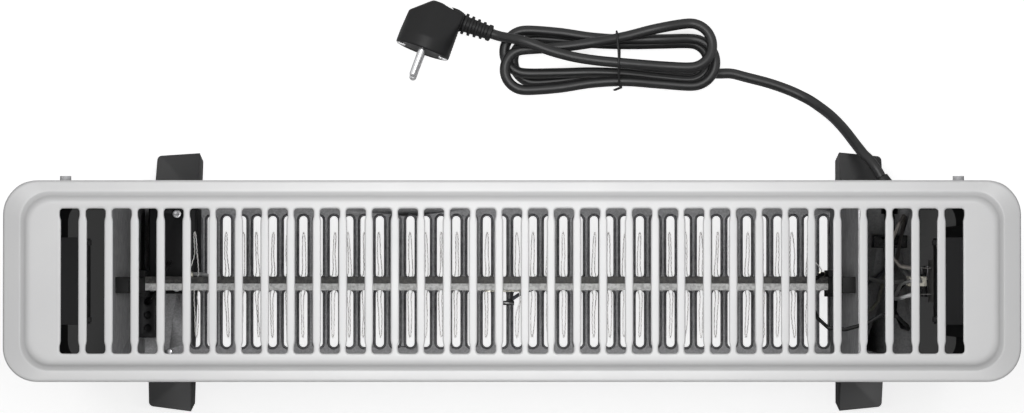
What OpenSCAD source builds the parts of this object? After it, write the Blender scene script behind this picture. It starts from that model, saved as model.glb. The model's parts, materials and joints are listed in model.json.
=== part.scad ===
/* [Body] */
// Width over the top cover, left to right
body_w = 588; // [572:1:620]
// Depth over the top cover, front to rear
body_d = 116.5; // [114:0.5:124]
// Height from the lower edge of the body to the top of the grille
body_h = 348; // [340:1:380]
// Clear height between the floor and the body
floor_gap = 52; // [48:1:60]
// Thickness of the sheet steel
sheet = 1; // [0.8:0.1:1.2]
// Gap between sheets that slide into each other
sheet_fit = 0.25; // [0.15:0.05:0.4]

/* [Top cover] */
// Corner radius of the top cover seen from above
cover_r = 20; // [18:0.5:22]
// Width of the flat rim at the two ends
rim_end = 10; // [8:0.5:14]
// Width of the flat rim along the front and the rear
rim_side = 6.3; // [5:0.1:8]
// Width of the sloping step between the rim and the grille
step_w = 6.5; // [5:0.5:8]
// Height of the sloping step
step_h = 5; // [3:0.5:7]
// Height of the turned-down skirt
skirt_h = 14; // [10:1:18]
// Number of slots in the grille
slot_count = 35; // [31:1:35]
// Distance from the step to the first slot at each end
slot_margin = 16.9; // [14:0.1:24]
// Length of a slot
slot_len = 83.7; // [78:0.1:86]
// Width of a slot along its middle
slot_w = 9.6; // [8:0.1:10.4]
// Width of the flared ends of a slot
ear_w = 11.2; // [10.5:0.1:12]
// Length of a flared end
ear_len = 5.6; // [5.6:0.1:9]

/* [Bottom plate] */
// Slots in each of the two rows of the bottom plate
vent_count = 42; // [36:1:42]
// Distance from the left end of the bottom plate to its first vent slot
vent_left_in = 54.7; // [50:0.1:58]
// Distance from the right end of the bottom plate to its last vent slot
vent_right_in = 57.5; // [55.8:0.1:60]
// Width of a vent slot
vent_w = 5.3; // [4:0.1:6]
// Where the rear row of vent slots starts, from the middle
vent_rear_y = 2.5; // [2:0.5:6]
// Where the front row of vent slots starts, from the middle
vent_front_y = 5.7; // [2:0.1:8]
// How far both rows reach to the front and the rear
vent_reach = 42.8; // [36:0.1:43]
// Height of the folded-up edges of the bottom plate
plate_lip = 8; // [6:1:12]
// Width of the flange folded in at the foot of each panel
panel_flange = 14; // [13:0.5:15]

/* [End caps] */
// Width of an end cap that shows at the front and the rear
cap_w = 22; // [22:1:30]
// Width of the tongue of an end cap behind the panels
tongue_w = 8; // [8:1:12]
// Wall thickness of the end caps
cap_t = 2.5; // [2:0.1:3]
// Corner radius of the end caps at the front
cap_front_r = 19.6; // [17:0.1:22]
// Corner radius of the end caps at the rear
cap_rear_r = 17.2; // [15:0.1:20]
// Width of the carrying recess, outside its walls
grip_w = 51; // [48:1:60]
// Depth of the carrying recess, outside its walls
grip_deep = 42; // [30:1:44]
// Height of the carrying recess, outside its walls
grip_h = 66; // [55:1:68]
// Distance from the top of the body to the carrying recess
grip_drop = 32; // [28:1:34]

/* [Controls] */
// Width of the sunk control panel
panel_w = 64; // [60:1:70]
// Height of the sunk control panel
panel_h = 168; // [166:1:172]
// Depth of the sunk control panel
panel_deep = 16; // [15:0.5:18]
// Height of the middle of the control panel above the floor
panel_z = 200; // [196:1:204]
// Distance from the middle of the panel up to the thermostat knob
knob_up = 48; // [44:1:54]
// Diameter of the thermostat knob
knob_d = 42; // [34:1:46]
// Height of the thermostat knob
knob_h = 14; // [12:0.5:15]
// Diameter of the thermostat spindle
spindle_d = 6; // [5:0.5:6.5]
// Turning range of the thermostat knob, in degrees
knob_turn = 270; // [180:10:300]
// Running clearance round spindles and pins
run_fit = 0.05; // [0.03:0.01:0.09]
// Distance from the middle of the panel down to the first rocker switch
switch_down = 18; // [16:1:20]
// Distance from rocker switch to rocker switch
switch_pitch = 42; // [40:1:46]
// Width of the flange of a rocker switch
switch_w = 22; // [20:0.5:26]
// Height of the flange of a rocker switch
switch_h = 31; // [30:0.5:36]
// Tilt of a rocker to each side of its middle, in degrees
rocker_tilt = 11; // [8:1:12]
// Diameter of the pilot lamp's lens
lamp_d = 9; // [7:0.5:11]

/* [Feet] */
// Distance from the left end of the body to the middle of the left foot
left_foot_in = 72; // [62:1:94]
// Distance from the right end of the body to the middle of the right foot
right_foot_in = 65; // [62:1:94]
// Turn of the left foot on its screws, in degrees
left_foot_turn = 1.9; // [0:0.1:2]
// Width of a foot
foot_w = 27.6; // [24:0.2:32]
// Reach of the feet to the front and to the rear
foot_reach = 85; // [78:0.5:100]
// How much shorter the outer side of a foot is than its inner side
foot_slant = 2.5; // [0:0.5:5]
// Height of a foot at its tip
foot_tip_h = 36; // [30:1:42]
// How far the foot's end face leans out
foot_lean = 4.5; // [0:0.5:8]
// Wall thickness of the feet
foot_t = 2.8; // [2:0.1:4]
// Distance from the middle of the body to a foot screw
foot_screw_y = 46; // [45.8:0.1:47]
// Diameter of the foot screws
foot_screw_d = 4; // [3:0.5:5]

/* [Heating element] */
// Height of the middle of the heating element above the floor
element_z = 130; // [110:1:180]
// How far the heating element sits in front of the middle
element_forward = 1.3; // [0:0.1:4]
// Distance from the left end of the body to the left heat shield
left_shield_in = 54; // [50:1:56]
// Distance from the right end of the body to the right heat shield
right_shield_in = 86; // [82:1:86]
// Height of the heat shields
shield_h = 236; // [220:1:250]
// Width of the element's support board and of its steel strip
board_t = 4.4; // [3.6:0.1:5]
// Height of the element's support board
board_h = 34; // [28:1:40]
// Reach of the heating wire to the front and to the rear
wire_reach = 33.5; // [28:0.5:38]
// Height of a wire loop above or below the middle
wire_rise = 13; // [8:1:15]
// Diameter of the heating wire's spiral
wire_d = 1.4; // [1:0.1:1.6]
// Loops of heating wire in each of the two windings
wire_loops = 12; // [8:1:12]
// Gap between the two windings
wire_gap = 22.8; // [20:0.1:30]

/* [Cord] */
// Diameter of the mains cord
cord_d = 6.8; // [6.4:0.1:7.2]
// Distance from the right end of the body to the cord bushing
cord_in = 48; // [44:1:58]
// Height of the cord bushing above the floor
cord_z = 64; // [63.5:0.5:70]
// Length of the bushing's tapered sleeve outside the rear panel
bush_len = 10; // [8:0.5:12]
// Turn of the bushing's sleeve towards the left, in degrees
bush_turn = 30; // [0:1:35]
// Diameter of a pin of the plug
pin_d = 4.8; // [4:0.1:5]
// Length of a pin of the plug
pin_len = 19; // [17:0.5:20]
// Distance between the pins of the plug
pin_pitch = 19; // [17:0.5:20]
// Diameter of the face of the plug
plug_d = 37; // [36:0.5:38]

/* [Hidden] */

$fn = 48;
hull_fn = 32;
eps = 0.01;

steel_white = "#e6e7e8";
steel_bare = "#a3a5a8";
plate_grey = "#7b7d80";
plastic_black = "#2a2a2c";
cord_black = "#333436";
mica_dark = "#4a4a4a";
brass = "#b59a55";

hw = body_w / 2;
hd = body_d / 2;
top_z = floor_gap + body_h;
rim_z = top_z - step_h;
skirt_z = rim_z - skirt_h;
panel_y = hd - sheet - sheet_fit;
panel_in = panel_y - sheet;
panel_top = rim_z - sheet - sheet_fit;
cap_x = hw - cap_w;
tongue_x = cap_x - tongue_w;
plate_z = floor_gap + sheet;
plate_top = plate_z + sheet;
plate_w = 2 * (tongue_x - sheet_fit);
plate_d = 2 * (panel_in - sheet_fit);
element_y = -element_forward;
left_foot_x = hw - left_foot_in;
right_foot_x = hw - right_foot_in;
left_shield_x = hw - left_shield_in;
right_shield_x = hw - right_shield_in;
cord_x = hw - cord_in;

// Rounded rectangle with one radius at the front and one at the rear
module plan(w, d, front_r, rear_r) {
  translate([-w / 2 + front_r, -d / 2]) square([w - 2 * front_r, d / 2]);
  translate([-w / 2, -d / 2 + front_r]) square([w, d / 2 - front_r + eps]);
  translate([-w / 2 + rear_r, 0]) square([w - 2 * rear_r, d / 2]);
  translate([-w / 2, 0]) square([w, d / 2 - rear_r]);
  for (side = [-1, 1]) {
    translate([side * (w / 2 - front_r), -d / 2 + front_r]) circle(front_r);
    translate([side * (w / 2 - rear_r), d / 2 - rear_r]) circle(rear_r);
  }
}

module plan_block(z, h, w, d, front_r, rear_r) {
  translate([0, 0, z]) linear_extrude(h) plan(w, d, front_r, rear_r);
}

module box(low, high) {
  translate(low) cube(high - low);
}

// Swept tube

function unit(v) = v / norm(v);
function along(path, i) = unit(path[min(i + 1, len(path) - 1)] - path[max(i - 1, 0)]);
function square_to(v, dir) = unit(v - (v * dir) * dir);
// One direction square to the path at each point, turned as little as possible from point to point
function sides_of(dirs) =
  [for (i = 0, v = square_to(abs(dirs[0][2]) < 0.9 ? [0, 0, 1] : [1, 0, 0], dirs[0]); i < len(dirs);
    i = i + 1, v = i < len(dirs) ? square_to(v, dirs[i]) : v) v];
function ring(at, dir, side, r, sides) =
  let (up = cross(side, dir))
  [for (k = [0:sides - 1]) at + r * (cos(360 * k / sides) * side + sin(360 * k / sides) * up)];

module tube(path, d, sides, start = undef, finish = undef) {
  last = len(path) - 1;
  dirs = [for (i = [0:last]) i == 0 && !is_undef(start) ? start
    : i == last && !is_undef(finish) ? finish : along(path, i)];
  across = sides_of(dirs);
  points = [for (i = [0:last]) each ring(path[i], dirs[i], across[i], d / 2, sides)];
  walls = [for (i = [0:last - 1], k = [0:sides - 1])
    let (a = i * sides + k, b = i * sides + (k + 1) % sides)
    each [[a, a + sides, b], [b, a + sides, b + sides]]];
  caps = [for (k = [1:sides - 2]) each [[0, k, k + 1],
    [last * sides, last * sides + k + 1, last * sides + k]]];
  polyhedron(points, concat(walls, caps));
}

// Least distance from a tube to itself, leaving out its own neighbouring rings
function self_gap(path, d, skip) =
  min([for (i = [0:len(path) - 1], j = [i + skip:1:len(path) - 1]) norm(path[i] - path[j])]) - d;
function sum(v, i = 0) = i >= len(v) ? 0 : v[i] + sum(v, i + 1);
function path_length(path) = sum([for (i = [1:len(path) - 1]) norm(path[i] - path[i - 1])]);

// Top cover

grille_w = body_w - 2 * rim_end;
grille_d = body_d - 2 * rim_side;
slot_pitch = (grille_w - 2 * step_w - 2 * slot_margin - ear_w) / (slot_count - 1);
foot_of_step_r = cover_r - rim_side + 3;
step_wall = sheet * 1.3;

module slot_outline() {
  square([slot_w, slot_len - ear_len], center = true);
  for (end = [-1, 1]) translate([0, end * (slot_len - ear_len) / 2])
    plan(ear_w, ear_len, ear_len / 2 - eps, ear_len / 2 - eps);
}

module step_solid(inset, low, high) {
  r = foot_of_step_r - inset;
  hull($fn = hull_fn) {
    translate([0, 0, low]) linear_extrude(eps)
      plan(grille_w - 2 * inset, grille_d - 2 * inset, r, r, $fn = hull_fn);
    translate([0, 0, high - eps]) linear_extrude(eps)
      plan(grille_w - 2 * inset - 2 * step_w, grille_d - 2 * inset - 2 * step_w,
        r - step_w / 2, r - step_w / 2, $fn = hull_fn);
  }
}

module top_cover() {
  color(steel_white) difference() {
    union() {
      plan_block(skirt_z, skirt_h, body_w, body_d, cover_r, cover_r);
      step_solid(0, rim_z - sheet / 2, top_z);
    }
    plan_block(skirt_z - 1, skirt_h + 1 - sheet, body_w - 2 * sheet, body_d - 2 * sheet,
      cover_r - sheet, cover_r - sheet);
    step_solid(step_wall, rim_z - 2 * sheet, top_z - sheet);
    for (i = [0:slot_count - 1])
      translate([(i - (slot_count - 1) / 2) * slot_pitch, 0, rim_z])
        linear_extrude(step_h + 1) slot_outline();
  }
}

// Front and rear panels

function turned(side, y) = side < 0
  ? [-left_foot_x + sin(left_foot_turn) * y, cos(left_foot_turn) * y]
  : [right_foot_x, y];
foot_screw_points = [for (side = [-1, 1], end = [-1, 1]) turned(side, end * foot_screw_y)];

panel_w_all = 2 * (cap_x - sheet_fit);
rear_screw_x = cap_x - tongue_w / 2;
rear_screw_zs = [floor_gap + 28, floor_gap + body_h / 2, skirt_z - 24];
bottom_screw_xs = [-150, 0, 150];
bottom_screw_y = panel_in - panel_flange / 2;
spacer_x = cap_x - 12;
spacer_z = skirt_z - 9;
spacer_d = 6.6;
spacer_stud_d = 3.4;
small_screw_d = 3;
screw_slack = 0.3;

module panel(side) {
  difference() {
    union() {
      box([-panel_w_all / 2, min(side * panel_y, side * panel_in), floor_gap],
        [panel_w_all / 2, max(side * panel_y, side * panel_in), panel_top]);
      box([-panel_w_all / 2 + tongue_w + 1, min(side * panel_y, side * (panel_y - panel_flange)), floor_gap],
        [panel_w_all / 2 - tongue_w - 1, max(side * panel_y, side * (panel_y - panel_flange)), plate_z]);
    }
    for (p = foot_screw_points) if (p[1] * side > 0)
      translate([p[0], p[1], floor_gap - 1]) cylinder(d = foot_screw_d + screw_slack, h = sheet + 2);
    for (x = bottom_screw_xs)
      translate([x, side * bottom_screw_y, floor_gap - 1])
        cylinder(d = small_screw_d + screw_slack, h = sheet + 2);
  }
}

module front_panel() {
  color(steel_white) panel(-1);
}

module rear_panel() {
  color(steel_white) difference() {
    panel(1);
    for (side = [-1, 1], z = rear_screw_zs)
      translate([side * rear_screw_x, panel_y + 1, z]) rotate([90, 0, 0])
        cylinder(d = small_screw_d + screw_slack, h = sheet + 2);
    for (side = [-1, 1])
      translate([side * spacer_x, panel_y + 1, spacer_z]) rotate([90, 0, 0])
        cylinder(d = spacer_stud_d + 0.1, h = sheet + 2);
    translate([cord_x, panel_y + 1, cord_z]) rotate([90, 0, 0])
      cylinder(d = bush_d + 0.2, h = sheet + 2);
  }
}

module wall_spacers() {
  color("#c9cacb") for (side = [-1, 1])
    translate([side * spacer_x, panel_y, spacer_z]) rotate([-90, 0, 0]) {
      cylinder(d = spacer_d, h = 4.2);
      translate([0, 0, -sheet - 2]) cylinder(d = spacer_stud_d, h = sheet + 2);
    }
}

// Bottom plate

vent_pitch = (plate_w - vent_left_in - vent_right_in - vent_w) / (vent_count - 1);

module vent_outline(low, high) {
  translate([-vent_w / 2, low + vent_w / 2]) square([vent_w, high - low - vent_w]);
  for (y = [low + vent_w / 2, high - vent_w / 2]) translate([0, y]) circle(d = vent_w);
}

module bottom_plate() {
  color(plate_grey) difference() {
    union() {
      box([-plate_w / 2, -plate_d / 2, plate_z], [plate_w / 2, plate_d / 2, plate_top]);
      for (side = [-1, 1])
        box([-plate_w / 2 + 4, min(side * plate_d / 2, side * (plate_d / 2 - sheet)), plate_z],
          [plate_w / 2 - 4, max(side * plate_d / 2, side * (plate_d / 2 - sheet)), plate_z + plate_lip]);
    }
    box([cord_x - bush_d / 2 - 1, plate_d / 2 - sheet - 1, plate_top + 1],
      [cord_x + bush_d / 2 + 1, plate_d / 2 + 1, plate_z + plate_lip + 1]);
    for (i = [0:vent_count - 1])
      translate([vent_left_in + (vent_w - plate_w) / 2 + i * vent_pitch, 0, plate_z - 1])
        linear_extrude(sheet + 2) {
          vent_outline(vent_rear_y, vent_reach);
          vent_outline(-vent_reach, -vent_front_y);
        }
    for (p = foot_screw_points)
      translate([p[0], p[1], plate_z - 1]) cylinder(d = foot_screw_d + screw_slack, h = sheet + 2);
    for (x = bottom_screw_xs, side = [-1, 1])
      translate([x, side * bottom_screw_y, plate_z - 1])
        cylinder(d = small_screw_d + screw_slack, h = sheet + 2);
    for (p = plate_fixings)
      translate([p[0], p[1], plate_z - 1]) cylinder(d = small_screw_d + screw_slack, h = sheet + 2);
  }
}

// A pan-head screw with a cross recess, head down, shank up, its seat at the origin

module pan_screw(d, head_d, head_h, shank) {
  difference() {
    union() {
      translate([0, 0, -head_h]) cylinder(d = head_d, h = head_h);
      cylinder(d = d, h = shank);
    }
    for (turn = [0, 90]) rotate([0, 0, turn])
      translate([-head_d / 4, -d / 8, -head_h - 1]) cube([head_d / 2, d / 4, 1 + head_h / 2]);
  }
}

module foot_screws() {
  color(steel_bare) for (p = foot_screw_points)
    translate([p[0], p[1], boss_z]) pan_screw(foot_screw_d, foot_screw_d * 1.9, 2.6, plate_top + 6 - boss_z);
}

module rear_screws() {
  color(steel_bare) for (side = [-1, 1], z = rear_screw_zs)
    translate([side * rear_screw_x, panel_y, z]) rotate([90, 0, 0])
      pan_screw(small_screw_d, 6.4, 2, panel_screw_len);
}

module bottom_screws() {
  color(steel_bare) for (x = bottom_screw_xs, side = [-1, 1])
    translate([x, side * bottom_screw_y, floor_gap]) pan_screw(small_screw_d, 6.4, 2, 7);
}

// End caps

panel_screw_len = 9;
tongue_y = panel_in - sheet_fit;
grip_top = top_z - grip_drop;
grip_low = grip_top - grip_h;
control_x = hw - panel_deep;
control_in = control_x - cap_t;
control_low = panel_z - panel_h / 2;
control_high = panel_z + panel_h / 2;
knob_z = panel_z + knob_up;
lamp_z = panel_z + knob_up - knob_d / 2 - 12 - lamp_d / 2;
switch_zs = [panel_z - switch_down, panel_z - switch_down - switch_pitch];
nozzle_d = 10;
boss_r = 4;

module cap_shell() {
  difference() {
    union() {
      plan_block(floor_gap, skirt_z - floor_gap, body_w, body_d, cap_front_r, cap_rear_r);
      plan_block(skirt_z - 1, panel_top - skirt_z + 1, body_w - 2 * (sheet + sheet_fit),
        2 * panel_y, cover_r - sheet - sheet_fit, cover_r - sheet - sheet_fit);
    }
    plan_block(floor_gap + cap_t, body_h, body_w - 2 * (sheet + sheet_fit + cap_t),
      2 * (panel_y - cap_t), cover_r - 4, cover_r - 4);
    box([-hw, -hd - 1, floor_gap - 1], [cap_x, hd + 1, top_z]);
  }
}

module cap_tongue() {
  for (side = [-1, 1])
    box([tongue_x, min(side * tongue_y, side * (tongue_y - cap_t)), floor_gap + plate_seat],
      [cap_x + cap_t, max(side * tongue_y, side * (tongue_y - cap_t)), panel_top]);
  box([cap_x - eps, -tongue_y, floor_gap], [cap_x + cap_t, tongue_y, floor_gap + cap_t]);
  box([tongue_x, -tongue_y, floor_gap], [cap_x, tongue_y, floor_gap + plate_seat]);
  for (z = rear_screw_zs)
    translate([rear_screw_x, tongue_y, z]) rotate([90, 0, 0]) cylinder(r = boss_r, h = panel_screw_len);
}
plate_seat = cap_t;

module cap_bores() {
  for (z = rear_screw_zs)
    translate([rear_screw_x, tongue_y + 1, z]) rotate([90, 0, 0])
      cylinder(d = small_screw_d + 0.1, h = panel_screw_len + 1.5);
}

module grip_outer() {
  box([hw - grip_deep, -grip_w / 2, grip_low], [hw - 1, grip_w / 2, grip_top]);
}

module grip_space() {
  box([hw - grip_deep + cap_t, -grip_w / 2 + cap_t, grip_low + cap_t],
    [hw + 1, grip_w / 2 - cap_t, grip_top - cap_t]);
}

module grip_tabs() {
  for (y = [-1, 1])
    box([hw - grip_deep - 6, y * (grip_w / 2 - 3) - 1.5, grip_top - 10],
      [hw - grip_deep + 1, y * (grip_w / 2 - 3) + 1.5, grip_top - 4]);
}

module plain_end_cap() {
  difference() {
    union() {
      cap_shell();
      cap_tongue();
      grip_outer();
      grip_tabs();
    }
    grip_space();
    cap_bores();
  }
}

module left_end_cap() {
  color(plastic_black) mirror([1, 0, 0]) plain_end_cap();
}

module control_outer() {
  box([control_in, -panel_w / 2 - cap_t, control_low - cap_t],
    [hw - 1, panel_w / 2 + cap_t, control_high + cap_t]);
}

module control_space() {
  box([control_x, -panel_w / 2, control_low], [hw + 1, panel_w / 2, control_high]);
}

module right_end_cap() {
  color(plastic_black) difference() {
    union() {
      plain_end_cap();
      control_outer();
    }
    control_space();
    translate([control_in - 1, 0, knob_z]) rotate([0, 90, 0])
      cylinder(d = nozzle_d + 0.3, h = cap_t + 2);
    translate([control_in - 1, 0, lamp_z]) rotate([0, 90, 0])
      cylinder(d = lamp_d - 1.8, h = cap_t + 2);
    for (z = switch_zs)
      box([control_in - 1, -switch_w / 2 + 1.2, z - switch_h / 2 + 1.2],
        [control_x + 1, switch_w / 2 - 1.2, z + switch_h / 2 - 1.2]);
  }
}

// Feet

boss_z = floor_gap - 22;
foot_arch = 12;
foot_toe = 30;
toe_wall = 5;

module foot_side() {
  y0 = foot_reach - foot_lean;
  polygon([
    [-foot_reach, foot_tip_h], [-hd - 0.5, floor_gap], [hd + 0.5, floor_gap], [foot_reach, foot_tip_h],
    [y0, 0], [y0 - foot_toe, 0], [y0 - foot_toe - 6, foot_arch],
    [-y0 + foot_toe + 6, foot_arch], [-y0 + foot_toe, 0], [-y0, 0]
  ]);
}

// Seen from above, with the longer inner side at +X
module foot_plan() {
  r = 3;
  out = foot_reach - foot_slant;
  translate([-foot_w / 2 + r, -out]) square([eps, 2 * out]);
  translate([-foot_w / 2, -out + r]) square([foot_w / 2, 2 * out - 2 * r]);
  polygon([
    [-foot_w / 2 + r, -out], [foot_w / 2, -foot_reach], [foot_w / 2, foot_reach], [-foot_w / 2 + r, out]
  ]);
  for (end = [-1, 1]) translate([-foot_w / 2 + r, end * (out - r)]) circle(r);
}

module foot_blank() {
  intersection() {
    rotate([90, 0, 90]) translate([0, 0, -foot_w]) linear_extrude(2 * foot_w) foot_side();
    linear_extrude(floor_gap + 1) foot_plan();
  }
  box([-foot_w / 2 + 1, -panel_y + panel_flange + 1, floor_gap - 1],
    [foot_w / 2 - 1, panel_y - panel_flange - 1, plate_z]);
}

module foot() {
  inner = foot_w / 2 - foot_t;
  end_y = foot_reach - foot_lean - toe_wall;
  difference() {
    foot_blank();
    box([-inner, -hd + 6, -1], [inner, -foot_screw_y + boss_r + 1, floor_gap - foot_t - 1]);
    box([-inner, -foot_screw_y + boss_r + 3, -1], [inner, foot_screw_y - boss_r - 3, floor_gap - foot_t - 1]);
    box([-inner, foot_screw_y - boss_r - 1, -1], [inner, hd - 6, floor_gap - foot_t - 1]);
    for (end = [-1, 1])
      box([-inner, min(end * (hd - 3), end * end_y), -1],
        [inner, max(end * (hd - 3), end * end_y), foot_tip_h - 6]);
  }
  for (end = [-1, 1]) {
    translate([0, end * foot_screw_y, boss_z]) cylinder(r = boss_r, h = floor_gap - boss_z - 1);
    box([-inner - 0.5, end * foot_screw_y - 1, boss_z], [inner + 0.5, end * foot_screw_y + 1, floor_gap - 2]);
  }
}

module drilled_foot() {
  difference() {
    foot();
    for (end = [-1, 1]) translate([0, end * foot_screw_y, boss_z - 1])
      cylinder(d = foot_screw_d + screw_slack, h = floor_gap);
  }
}

module left_foot() {
  color(plastic_black) translate([-left_foot_x, 0, 0]) rotate([0, 0, -left_foot_turn]) drilled_foot();
}

module right_foot() {
  color(plastic_black) translate([right_foot_x, 0, 0]) mirror([1, 0, 0]) drilled_foot();
}

// Heat shields

shield_y = plate_d / 2 - sheet - sheet_fit;
shield_foot = 10;
shield_fold = 4;
shield_top = plate_top + shield_h;
lead_z = element_z - 24;
shield_screw_points = [for (y = [-38, 38]) each [[-left_shield_x - 5, y], [right_shield_x + 3.8, y]]];

// The plate at x, its foot and its upper edge folded out
module heat_shield(x, out) {
  t = out * sheet;
  difference() {
    union() {
      box([min(x, x + t), -shield_y, plate_top], [max(x, x + t), shield_y, shield_top]);
      box([min(x, x + out * shield_foot), -shield_y, plate_top],
        [max(x, x + out * shield_foot), shield_y, plate_top + sheet]);
      box([min(x, x + out * shield_fold), -shield_y, shield_top - sheet],
        [max(x, x + out * shield_fold), shield_y, shield_top]);
    }
    for (p = shield_screw_points)
      translate([p[0], p[1], plate_top - 1]) cylinder(d = small_screw_d + 0.1, h = sheet + 2);
  }
}

module left_heat_shield() {
  color(steel_bare) difference() {
    heat_shield(-left_shield_x, -1);
    for (z = block_peg_zs) translate([-left_shield_x - 3, block_y, z]) rotate([0, 90, 0])
      cylinder(d = block_peg_d + 0.1, h = 5);
  }
}

module right_heat_shield() {
  color(steel_bare) difference() {
    heat_shield(right_shield_x, 1);
    translate([right_shield_x - 2, element_y + 2, lead_z - 1]) rotate([0, 90, 0]) cylinder(d = 16, h = 5);
  }
}

module plate_screws() {
  color(steel_bare) for (p = shield_screw_points)
    translate([p[0], p[1], plate_z]) pan_screw(small_screw_d, 5.2, 2, 5);
}

// Heating element

board_end = 3.5;
holder_t = 8;
holder_w = 2 * board_t + 8;
holder_h = board_h + 4;
holder_top = shield_top - 20;
holder_neck = [-5.9, 3.9];
board_low = element_z - board_h / 2;
board_high = element_z + board_h / 2;
strip_t = 1;
wire_from_left = 35;
wire_from_right = 11;
wire_length = (left_shield_x + right_shield_x - wire_from_left - wire_from_right - wire_gap) / 2;
wire_pitch = wire_length / wire_loops;
wire_x = [-left_shield_x + wire_from_left, right_shield_x - wire_from_right - wire_length];
terminal_t = 3;
terminal_w = 4;
terminal_h = 9;
rear_terminal_y = element_y + board_t + terminal_t;
front_terminal_y = element_y - board_t - terminal_t + 2;
rear_terminal_xs = [wire_x[0], wire_x[1] + wire_length];
front_terminal_xs = [wire_x[0] + wire_length, wire_x[1]];
wire_steps = 24;
first_step = 2;

// Each loop goes out to one face of the board and back to the other, rising and falling in turn
function wire_point(x0, face, step) =
  let (turn = 360 * step / wire_steps, up = 1 - 2 * (floor(step / wire_steps) % 2))
  [x0 + step * wire_pitch / wire_steps, element_y + face * wire_reach * sin(turn),
    element_z + up * wire_rise * sin(turn)];
function wire_path(x0, face) =
  let (y = face > 0 ? [rear_terminal_y, front_terminal_y] : [front_terminal_y, rear_terminal_y])
  concat(
    [[x0, y[0], element_z], [x0, y[0] + face * wire_d, element_z]],
    [for (step = [first_step:wire_steps * wire_loops - first_step]) wire_point(x0, face, step)],
    [[x0 + wire_length, y[1] - face * wire_d, element_z], [x0 + wire_length, y[1], element_z]]);

module wire_holes() {
  for (x0 = wire_x, i = [1:2 * wire_loops - 1])
    box([x0 + i * wire_pitch / 2 - 1.6, element_y - board_t - 1, element_z - 3.4],
      [x0 + i * wire_pitch / 2 + 1.6, element_y + board_t + 1, element_z + 3.4]);
}

module element_board() {
  color(mica_dark) difference() {
    box([-left_shield_x + board_end, element_y, board_low],
      [right_shield_x - board_end, element_y + board_t, board_high]);
    wire_holes();
  }
}

module element_strip() {
  x0 = -left_shield_x + board_end;
  x1 = right_shield_x - board_end;
  color(steel_bare) difference() {
    union() {
      box([x0, element_y - strip_t, board_low], [x1, element_y, board_high]);
      for (z = [board_low, board_high - strip_t])
        box([x0, element_y - board_t, z], [x1, element_y, z + strip_t]);
    }
    wire_holes();
  }
}

module heating_wire(x0, face) {
  path = wire_path(x0, face);
  echo(least_gap_in_heating_wire = self_gap(path, wire_d, 8));
  tube(path, wire_d, 6, [0, face, 0], [0, face, 0]);
}

module left_heating_wire() {
  color("#8d8276") heating_wire(wire_x[0], 1);
}

module right_heating_wire() {
  color("#8d8276") heating_wire(wire_x[1], -1);
}

module element_holders() {
  slot = 2 * board_t + 0.4;
  color(mica_dark) for (x = [-left_shield_x, right_shield_x - holder_t]) difference() {
    union() {
      box([x, element_y - holder_w / 2, element_z - holder_h / 2],
        [x + holder_t, element_y + holder_w / 2, element_z + holder_h / 2]);
      box([x, element_y + holder_neck[0], element_z], [x + holder_t, element_y + holder_neck[1], holder_top]);
    }
    box([x < 0 ? x + board_end - 0.2 : x - 1, element_y - slot / 2, board_low - 0.2],
      [x < 0 ? x + holder_t + 1 : x + holder_t - board_end + 0.2, element_y + slot / 2, board_high + 0.2]);
  }
}

module element_terminals() {
  color(brass) {
    for (x = rear_terminal_xs)
      box([x - terminal_w / 2, rear_terminal_y - terminal_t, element_z - terminal_h / 2],
        [x + terminal_w / 2, rear_terminal_y, element_z + terminal_h / 2]);
    for (x = front_terminal_xs)
      box([x - terminal_w / 2, front_terminal_y, element_z - terminal_h / 2],
        [x + terminal_w / 2, element_y - strip_t, element_z + terminal_h / 2]);
    box([front_terminal_xs[0], front_terminal_y, element_z - 4],
      [front_terminal_xs[1], front_terminal_y + 1, element_z + 4]);
  }
}

cutout_x = (front_terminal_xs[0] + front_terminal_xs[1]) / 2;
cutout_w = 10.8;
cutout_t = 2.8;
cutout_y = front_terminal_y - 5.6;
cutout_low = element_z - 6;

module thermal_cutout() {
  color("#3a3a3c") {
    box([cutout_x - cutout_w / 2, cutout_y - cutout_t, cutout_low],
      [cutout_x + cutout_w / 2, cutout_y, element_z + 6]);
    for (side = [-1, 1])
      box([cutout_x + side * 3.5 - 0.8, cutout_y - eps, element_z - 3],
        [cutout_x + side * 3.5 + 0.8, front_terminal_y, element_z + 3]);
  }
}

// Tip-over switch and terminal block

tilt_low = [-left_shield_x + 6, 0];
tilt_size = [31, 47, 46];
tilt_top = plate_top + tilt_size[2];
lug_t = 2;
lid_screw = [tilt_low[0] + 18.4, tilt_size[1] - 3.5];
lug_points = [[tilt_low[0] + 15, -4], [tilt_low[0] + 4, tilt_size[1] + 3.7]];

module tilt_switch() {
  x0 = tilt_low[0];
  x1 = x0 + tilt_size[0];
  y1 = tilt_size[1];
  color(plastic_black) difference() {
    union() {
      box([x0, 0, plate_top], [x1, y1, tilt_top - 4]);
      box([x0 + 1, 1, plate_top], [x1 - 1, y1 - 0.5, tilt_top]);
      box([x0 + 8, -8, plate_top], [x0 + 22, 1, plate_top + lug_t]);
      box([x0, y1 - 1, plate_top], [x0 + 8, y1 + 7.2, plate_top + lug_t]);
    }
    for (p = lug_points) translate([p[0], p[1], plate_top - 1])
      cylinder(d = small_screw_d + 0.1, h = lug_t + 2);
    translate([lid_screw[0], lid_screw[1], tilt_top - 10]) cylinder(d = small_screw_d + 0.1, h = 11);
    translate([foot_screw_points[1][0], foot_screw_points[1][1], plate_top - 1])
      cylinder(d = foot_screw_d + 2, h = 8);
  }
}

module tilt_switch_screws() {
  color(steel_bare) {
    for (p = lug_points) translate([p[0], p[1], plate_top + lug_t]) mirror([0, 0, 1])
      pan_screw(small_screw_d, 5.2, 2, lug_t + sheet);
    translate([lid_screw[0], lid_screw[1], tilt_top]) mirror([0, 0, 1]) pan_screw(small_screw_d, 5.2, 2, 9);
  }
}

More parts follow.
